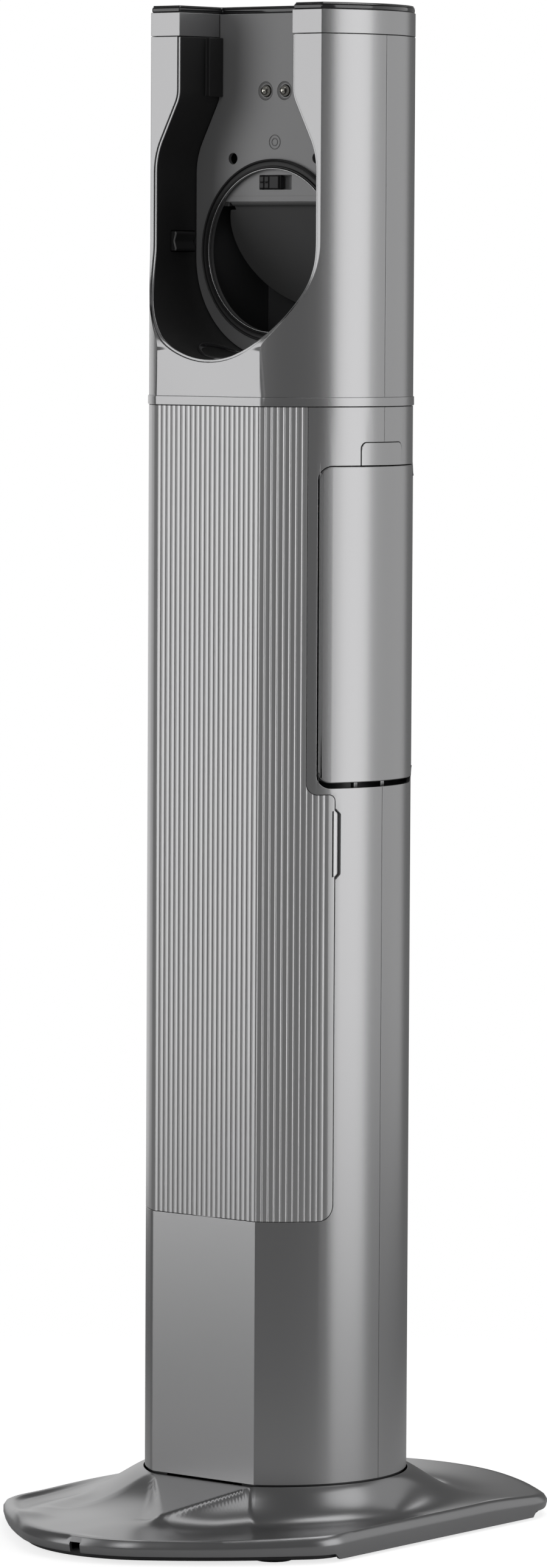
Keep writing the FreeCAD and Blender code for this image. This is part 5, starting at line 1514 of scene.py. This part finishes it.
@dataclass
class BagSpace:
    """Dust bag compartment with its cover, latch, holder and the filled bag."""

    groove_levels: tuple[float, float, float] = (712 * MM, 708.4 * MM, 704.7 * MM)
    groove_spans: tuple[tuple[float, float], ...] = ((81.8, 98.2), (79.6, 100.4), (79.6, 100.4))
    cloth_steps: int = 18
    voxel: float = 5.5 * MM
    most_swell: float = 5 * MM
    pressure: float = 4.0

    def latch(self) -> Piece:
        """Latch button; its three groove cutters leave no mark in the mesh.

        Returns:
            The piece.
        """
        item = Bench.from_node("cover_latch", "cover_latch_skin")
        outer = 87.4 * MM
        tools = []
        for level, (start, end) in zip(self.groove_levels, self.groove_spans):
            profile = [(outer - 0.9 * MM, -0.4 * MM), (outer - 0.9 * MM, 0.4 * MM), (outer + 1 * MM, 0.9 * MM),
                       (outer + 1 * MM, -0.9 * MM), (outer - 0.9 * MM, -0.4 * MM)]
            cutter = Bench.turned("groove", profile, AXIS + UP * level, (0, 0, 1), 12, end - start, start - 90)
            tools.append(Bench.closed(cutter))
        Bench.carve(item, tools)
        return Bench.soften(item, 0.35 * MM, 2)

    def bag(self) -> Piece:
        """Filled fleece bag: a blown-up cloth body with side folds.

        Returns:
            The piece.
        """
        low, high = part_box("dust_bag")
        inset = Vector((5, 5, 6)) * MM
        item = Bench.block("dust_bag_skin", low + inset, high - inset)
        Bench.modify(item, "BEVEL", width=14 * MM, segments=4)
        Bench.modify(item, "REMESH", mode="VOXEL", voxel_size=self.voxel)
        middle = (low + high) / 2
        half = (high - low) / 2

        def fold(point: Vector) -> Vector:
            """Press the gusset folds into the narrow sides."""
            rel = point - middle
            side = smooth((abs(rel.x) - half.x * 0.55) / (half.x * 0.45))
            tuck = 7 * MM * side * math.exp(-(rel.y / (9 * MM)) ** 2)
            return point - Vector((math.copysign(tuck, rel.x), 0, 0))

        Bench.scatter(item, fold)
        start = [vert.co.copy() for vert in item.data.vertices]
        cloth = item.modifiers.new("cloth", "CLOTH")
        cloth.settings.use_pressure = True
        cloth.settings.uniform_pressure_force = self.pressure
        cloth.settings.effector_weights.gravity = 0
        cloth.settings.tension_stiffness = 12
        for step in range(1, self.cloth_steps + 1):
            bpy.context.scene.frame_set(step)
        Bench.only(item)
        bpy.ops.object.modifier_apply(modifier=cloth.name)
        bpy.context.scene.frame_set(1)
        for vert, before in zip(item.data.vertices, start):
            move = vert.co - before
            if move.length > self.most_swell:
                move = move.normalized() * self.most_swell
            crumple = noise.noise(before * 42) * 1.6 * MM + noise.noise(before * 110) * 0.6 * MM
            vert.co = before + move + (before - middle).normalized() * crumple
            for axis in range(3):
                vert.co[axis] = min(high[axis] - 0.6 * MM, max(low[axis] + 0.6 * MM, vert.co[axis]))
        Bench.modify(item, "SUBSURF", levels=1, render_levels=1)
        Bench.only(item)
        bpy.ops.object.shade_smooth()
        return item

    def build(self) -> None:
        """Model and dress the compartment."""
        Bench.eased("dust_cover", PALETTE.shell, Body.COVER, Slot.SHELL, 0.6 * MM, 3)
        Bench.dress(self.latch(), PALETTE.shell, Body.LATCH, Slot.SHELL, "cover_latch")
        bag = Bench.dress(self.bag(), PALETTE.fleece, Body.TOWER, Slot.FLEECE, "dust_bag")
        Bench.eased("bag_collar", PALETTE.card, Body.TOWER, Slot.CARD, 0.4 * MM)
        Bench.eased("bag_holder", PALETTE.inner, Body.TOWER, Slot.INNER, 0.5 * MM)
        Bench.eased("bag_chamber", PALETTE.inner, Body.TOWER, Slot.INNER, 0.5 * MM)
        for node in ("cover_hinge_lugs", "latch_guide"):
            Bench.keep(node, PALETTE.inner)
        Bench.keep("cover_hinge_pin", PALETTE.steel)


# ---------------------------------------------------------------- motor and electronics


@dataclass
class MotorUnit:
    """Suction motor with its filters and mounts."""

    coils: int = 12
    pleat: float = 4 * MM

    def core(self) -> Piece:
        """Stack of laminations with fine grooves.

        Returns:
            The piece.
        """
        low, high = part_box("motor_core")
        centre = middle_of("motor_core")
        outer = (high.x - low.x) / 2
        profile = [(3.2 * MM, low.z), (outer - 2 * MM, low.z)]
        level = low.z
        while level < low.z + 5.4 * MM:
            edge, following = level + 0.7 * MM, level + 0.9 * MM
            profile += [(outer, level), (outer, edge), (outer - 0.5 * MM, edge), (outer - 0.5 * MM, following)]
            level += 0.9 * MM
        neck, bore, crown = 24 * MM, 3.2 * MM, high.z - 4 * MM
        profile += [(neck, low.z + 6 * MM), (neck, crown), (bore, crown), (bore, low.z)]
        return Bench.soften(Bench.turned("motor_core_skin", profile, centre, sides=64), 0.0, angle=25)

    def windings(self) -> Piece:
        """Ring of wound coils on the core.

        Returns:
            The piece.
        """
        low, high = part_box("motor_core")
        centre = middle_of("motor_core")
        bpy.ops.mesh.primitive_torus_add(major_segments=28, minor_segments=8, major_radius=1.0, minor_radius=0.22)
        first = Bench.named("coil")
        middle = (low.z + high.z) / 2 + 1 * MM

        def wind(point: Vector) -> Vector:
            """Stretch the ring into an upright coil beside the shaft."""
            return centre + Vector((point.z * 12 * MM, -(25.5 * MM) + point.x * 0.9 * MM, 0)) + Vector(
                (point.x * 4.6 * MM, point.z * 2 * MM, middle + point.y * 21 * MM))

        Bench.scatter(first, wind)
        pieces = [first]
        for number in range(1, self.coils):
            pieces.append(Bench.twin(first, "coil", turn=360 * number / self.coils, centre=centre))
        return Bench.soften(Bench.join(pieces, "motor_windings"), 0.0, angle=50)

    def folded(self, node: str) -> Piece:
        """Pleated filter in its frame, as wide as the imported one.

        Args:
            node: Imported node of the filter.

        Returns:
            The piece.
        """
        low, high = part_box(node)
        count = int((high.x - low.x - 6 * MM) / self.pleat)
        step = (high.x - low.x - 6 * MM) / count
        zigzag = []
        for number in range(2 * count + 1):
            y = high.y - 1.2 * MM if number % 2 else low.y + 1.2 * MM
            zigzag.append(Vector((low.x + 3 * MM + number * step / 2, y, low.z + 2 * MM)))
        sheet = Bench.line("pleats", zigzag)
        Bench.edit(sheet)
        bpy.ops.mesh.select_all(action="SELECT")
        bpy.ops.mesh.extrude_region_move(TRANSFORM_OT_translate={"value": (0, 0, high.z - low.z - 4 * MM)})
        Bench.done()
        Bench.modify(sheet, "SOLIDIFY", thickness=0.6 * MM, offset=0.0)
        rim = Bench.block("rim", low, high)
        Bench.carve(rim, [Bench.block("hollow", low + Vector((3, -5, 3)) * MM, high + Vector((-3, 5, -3)) * MM)])
        Bench.soften(rim, 0.7 * MM, 2)
        item = Bench.join([rim, sheet], node + "_skin")
        return Bench.dress(item, PALETTE.pleats, Body.TOWER, Slot.FILTER, node)

    def disc(self) -> Piece:
        """Round motor filter with radial pleats.

        Returns:
            The piece.
        """
        low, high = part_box("motor_filter")
        centre = middle_of("motor_filter")
        outer = (high.x - low.x) / 2
        thick = high.z - low.z
        face = high.z - 0.4 * MM
        profile = [(0, low.z), (outer - 2 * MM, low.z), (outer, low.z + 1.5 * MM), (outer, high.z - 1.5 * MM),
                   (outer - 2 * MM, high.z), (outer - 4 * MM, high.z), (outer - 5 * MM, face),
                   (outer * 0.66, face), (outer * 0.33, face), (0, face)]
        item = Bench.turned("motor_filter_skin", profile, centre, sides=144)

        def pleats(point: Vector) -> Vector:
            """Sink every other spoke of the upper face."""
            rel = point - centre
            radius = math.hypot(rel.x, rel.y)
            turn = math.degrees(math.atan2(rel.y, rel.x))
            if point.z < high.z - thick * 0.1 or radius > outer - 3.5 * MM:
                return point
            wave = 0.5 - 0.5 * math.cos(math.radians(turn * 36))
            return point - UP * 2.4 * MM * wave * smooth(radius / (8 * MM))

        Bench.scatter(item, pleats)
        return Bench.soften(item, 0.0, angle=50)

    def build(self) -> None:
        """Model and dress the motor unit."""
        Bench.dress(self.core(), PALETTE.lamination, Body.TOWER, Slot.COPPER, "motor_core")
        Bench.dress(self.windings(), PALETTE.copper, Body.TOWER, Slot.COPPER)
        Bench.eased("motor_housing", PALETTE.inner, Body.TOWER, Slot.INNER, 0.6 * MM)
        Bench.keep("motor_mounts", PALETTE.rubber)
        Bench.eased("impeller", PALETTE.flap, Body.IMPELLER, Slot.INNER, 0.0)
        self.folded("exhaust_filter")
        Bench.dress(self.disc(), PALETTE.pleats, Body.TOWER, Slot.FILTER, "motor_filter")


@dataclass
class Electronics:
    """Control board under the cap and the power supply in the foot."""

    def chips(self) -> Piece:
        """Chips, sockets and capacitors on the control board.

        Returns:
            The piece.
        """
        low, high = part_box("control_board")
        top = high.z
        parts = []
        for x, y, wide, long, tall in ((-22, 44, 12, 12, 1.4), (2, 42, 8, 10, 1.2), (24, 62, 10, 6, 3.2),
                                       (-28, 62, 7, 5, 2.0), (14, 56, 5, 4, 1.0), (-8, 62, 6, 4, 1.0)):
            far = ((x + wide) * MM, (y + long) * MM, top + tall * MM)
            parts.append(Bench.block("chip", (x * MM, y * MM, top), far))
        profile = [(r * MM, z * MM) for r, z in ((0, 0), (2.6, 0), (2.8, 0.4), (2.6, 0.8), (2.8, 1.2),
                                                 (2.8, 5.4), (2.4, 5.8), (0, 5.8))]
        for x, y in ((30, 38), (-34, 36), (33, 48)):
            parts.append(Bench.turned("can", profile, Vector((x * MM, y * MM, top)), sides=28))
        return Bench.soften(Bench.join(parts, "board_parts"), 0.25 * MM, 2, clamp=True)

    def build(self) -> None:
        """Model and dress the electronics."""
        Bench.eased("control_board", PALETTE.board, Body.TOWER, Slot.BOARD, 0.2 * MM)
        Bench.dress(self.chips(), PALETTE.chip, Body.TOWER, Slot.BOARD)
        Bench.eased("power_supply", PALETTE.under, Body.TOWER, Slot.INNER, 2.2 * MM, 4)


# ---------------------------------------------------------------- studio


@dataclass
class Studio:
    """Plain floor, soft lights and the camera."""

    place: Vector = field(default_factory=lambda: Vector((2.9844, -3.6638, 0.8223)))
    azimuth: float = 39.133
    pitch: float = 4.034
    roll: float = 0.297
    lens: float = 164.85
    floor_glow: float = 0.72

    def camera(self) -> None:
        """Camera at the viewing angle."""
        a, p, r = (math.radians(v) for v in (self.azimuth, self.pitch, self.roll))
        forward = Vector((-math.sin(a) * math.cos(p), math.cos(a) * math.cos(p), -math.sin(p)))
        side = Vector((math.cos(a), math.sin(a), 0))
        up = side.cross(forward)
        across = side * math.cos(r) + up * math.sin(r)
        upward = up * math.cos(r) - side * math.sin(r)
        data = bpy.data.cameras.new("view")
        data.lens = self.lens
        data.sensor_width = 36
        data.clip_end = 100
        camera = bpy.data.objects.new("view", data)
        bpy.context.scene.collection.objects.link(camera)
        turn = Matrix((across, upward, -forward)).transposed().to_4x4()
        camera.matrix_world = Matrix.Translation(self.place) @ turn
        bpy.context.scene.camera = camera

    def lamp(self, name: str, azimuth: float, distance: float, level: float, size: tuple[float, float], power: float,
             aim: float = 0.5) -> None:
        """Soft box that faces the tower.

        Args:
            name: Name of the light.
            azimuth: Direction from the tower, 0 to the front and 90 to the right.
            distance: Distance from the tower.
            level: Height above the floor.
            size: Width and height.
            power: Light power in watts.
            aim: Height that it faces.
        """
        data = bpy.data.lights.new(name, "AREA")
        data.shape = "RECTANGLE"
        data.size, data.size_y = size
        data.energy = power
        light = bpy.data.objects.new(name, data)
        bpy.context.scene.collection.objects.link(light)
        light.location = polar(distance, azimuth, level)
        light.rotation_euler = (Vector((0, 0, aim)) - light.location).to_track_quat("-Z", "Y").to_euler()
        light.visible_camera = False

    def floor(self) -> None:
        """Pale floor that fades out far from the tower."""
        floor = Bench.turned("floor", [(0.0, 0.0), (0.3, 0.0), (1.2, 0.0)], Vector((0, 0, -0.0002)), sides=64)
        material = bpy.data.materials.new("pale_floor")
        material.use_nodes = True
        wires = Wiring(material.node_tree)
        skin = material.node_tree.nodes["Principled BSDF"]
        skin.inputs["Roughness"].default_value = 0.7
        skin.inputs["Base Color"].default_value = (0.83, 0.83, 0.83, 1)
        skin.inputs["Specular IOR Level"].default_value = 0.15
        place = wires.add("TexCoord")
        far = wires.add("VectorMath", operation="LENGTH")
        wires.join(place.outputs["Object"], far.inputs[0])
        wires.join(wires.ramp(far.outputs["Value"], 0.12, 0.85, 0.9, 0.0), skin.inputs["Alpha"])
        path = wires.add("LightPath")
        skin.inputs["Emission Color"].default_value = (1, 1, 1, 1)
        wires.join(wires.maths("MULTIPLY", path.outputs["Is Camera Ray"], self.floor_glow),
                   skin.inputs["Emission Strength"])
        floor.data.materials.append(material)

    def surroundings(self) -> None:
        """Plain pale room: dimmer for the light that it gives than for the eye."""
        world = bpy.data.worlds.new("room")
        bpy.context.scene.world = world
        world.use_nodes = True
        wires = Wiring(world.node_tree)
        world.node_tree.nodes.clear()
        out = wires.add("OutputWorld")
        eye = wires.add("Background", Color=(1, 1, 1, 1), Strength=1.0)
        room = wires.add("Background", Color=(1, 1, 1, 1), Strength=0.13)
        path = wires.add("LightPath")
        both = wires.add("MixShader")
        wires.join(path.outputs["Is Camera Ray"], both.inputs[0])
        wires.join(room.outputs[0], both.inputs[1])
        wires.join(eye.outputs[0], both.inputs[2])
        wires.join(both.outputs[0], out.inputs[0])

    def build(self) -> None:
        """Set the camera, the lights and the floor."""
        self.camera()
        self.lamp("left_soft_box", -36, 2.6, 1.0, (1.45, 2.4), 13.8, 0.6)
        self.lamp("front_soft_box", 12, 2.6, 1.5, (0.7, 0.9), 4.5, 0.8)
        self.lamp("right_soft_box", 103.5, 2.6, 0.95, (1.75, 2.4), 19.4, 0.6)
        self.lamp("far_right_soft_box", 150, 2.8, 0.95, (3.0, 2.2), 10, 0.6)
        self.lamp("rear_left_soft_box", -126, 2.6, 0.95, (1.8, 2.2), 9, 0.6)
        self.lamp("top_soft_box", 150, 0.9, 2.9, (1.6, 1.6), 14, 0.3)
        self.floor()
        self.surroundings()
        bpy.context.scene.view_settings.view_transform = "Standard"


def main() -> None:
    """Build every sub-assembly and report how it went."""
    logging.basicConfig(level=logging.INFO, format="%(name)s %(message)s")
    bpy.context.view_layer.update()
    for part in (Base(), Shells(), StorageDoor(), Head(), Cradle(), DustPort(), Holding(), BagSpace(), MotorUnit(),
                 Electronics(), Studio()):
        part.build()
        log.info("%s built", type(part).__name__)


if __name__ == "__main__":
    main()
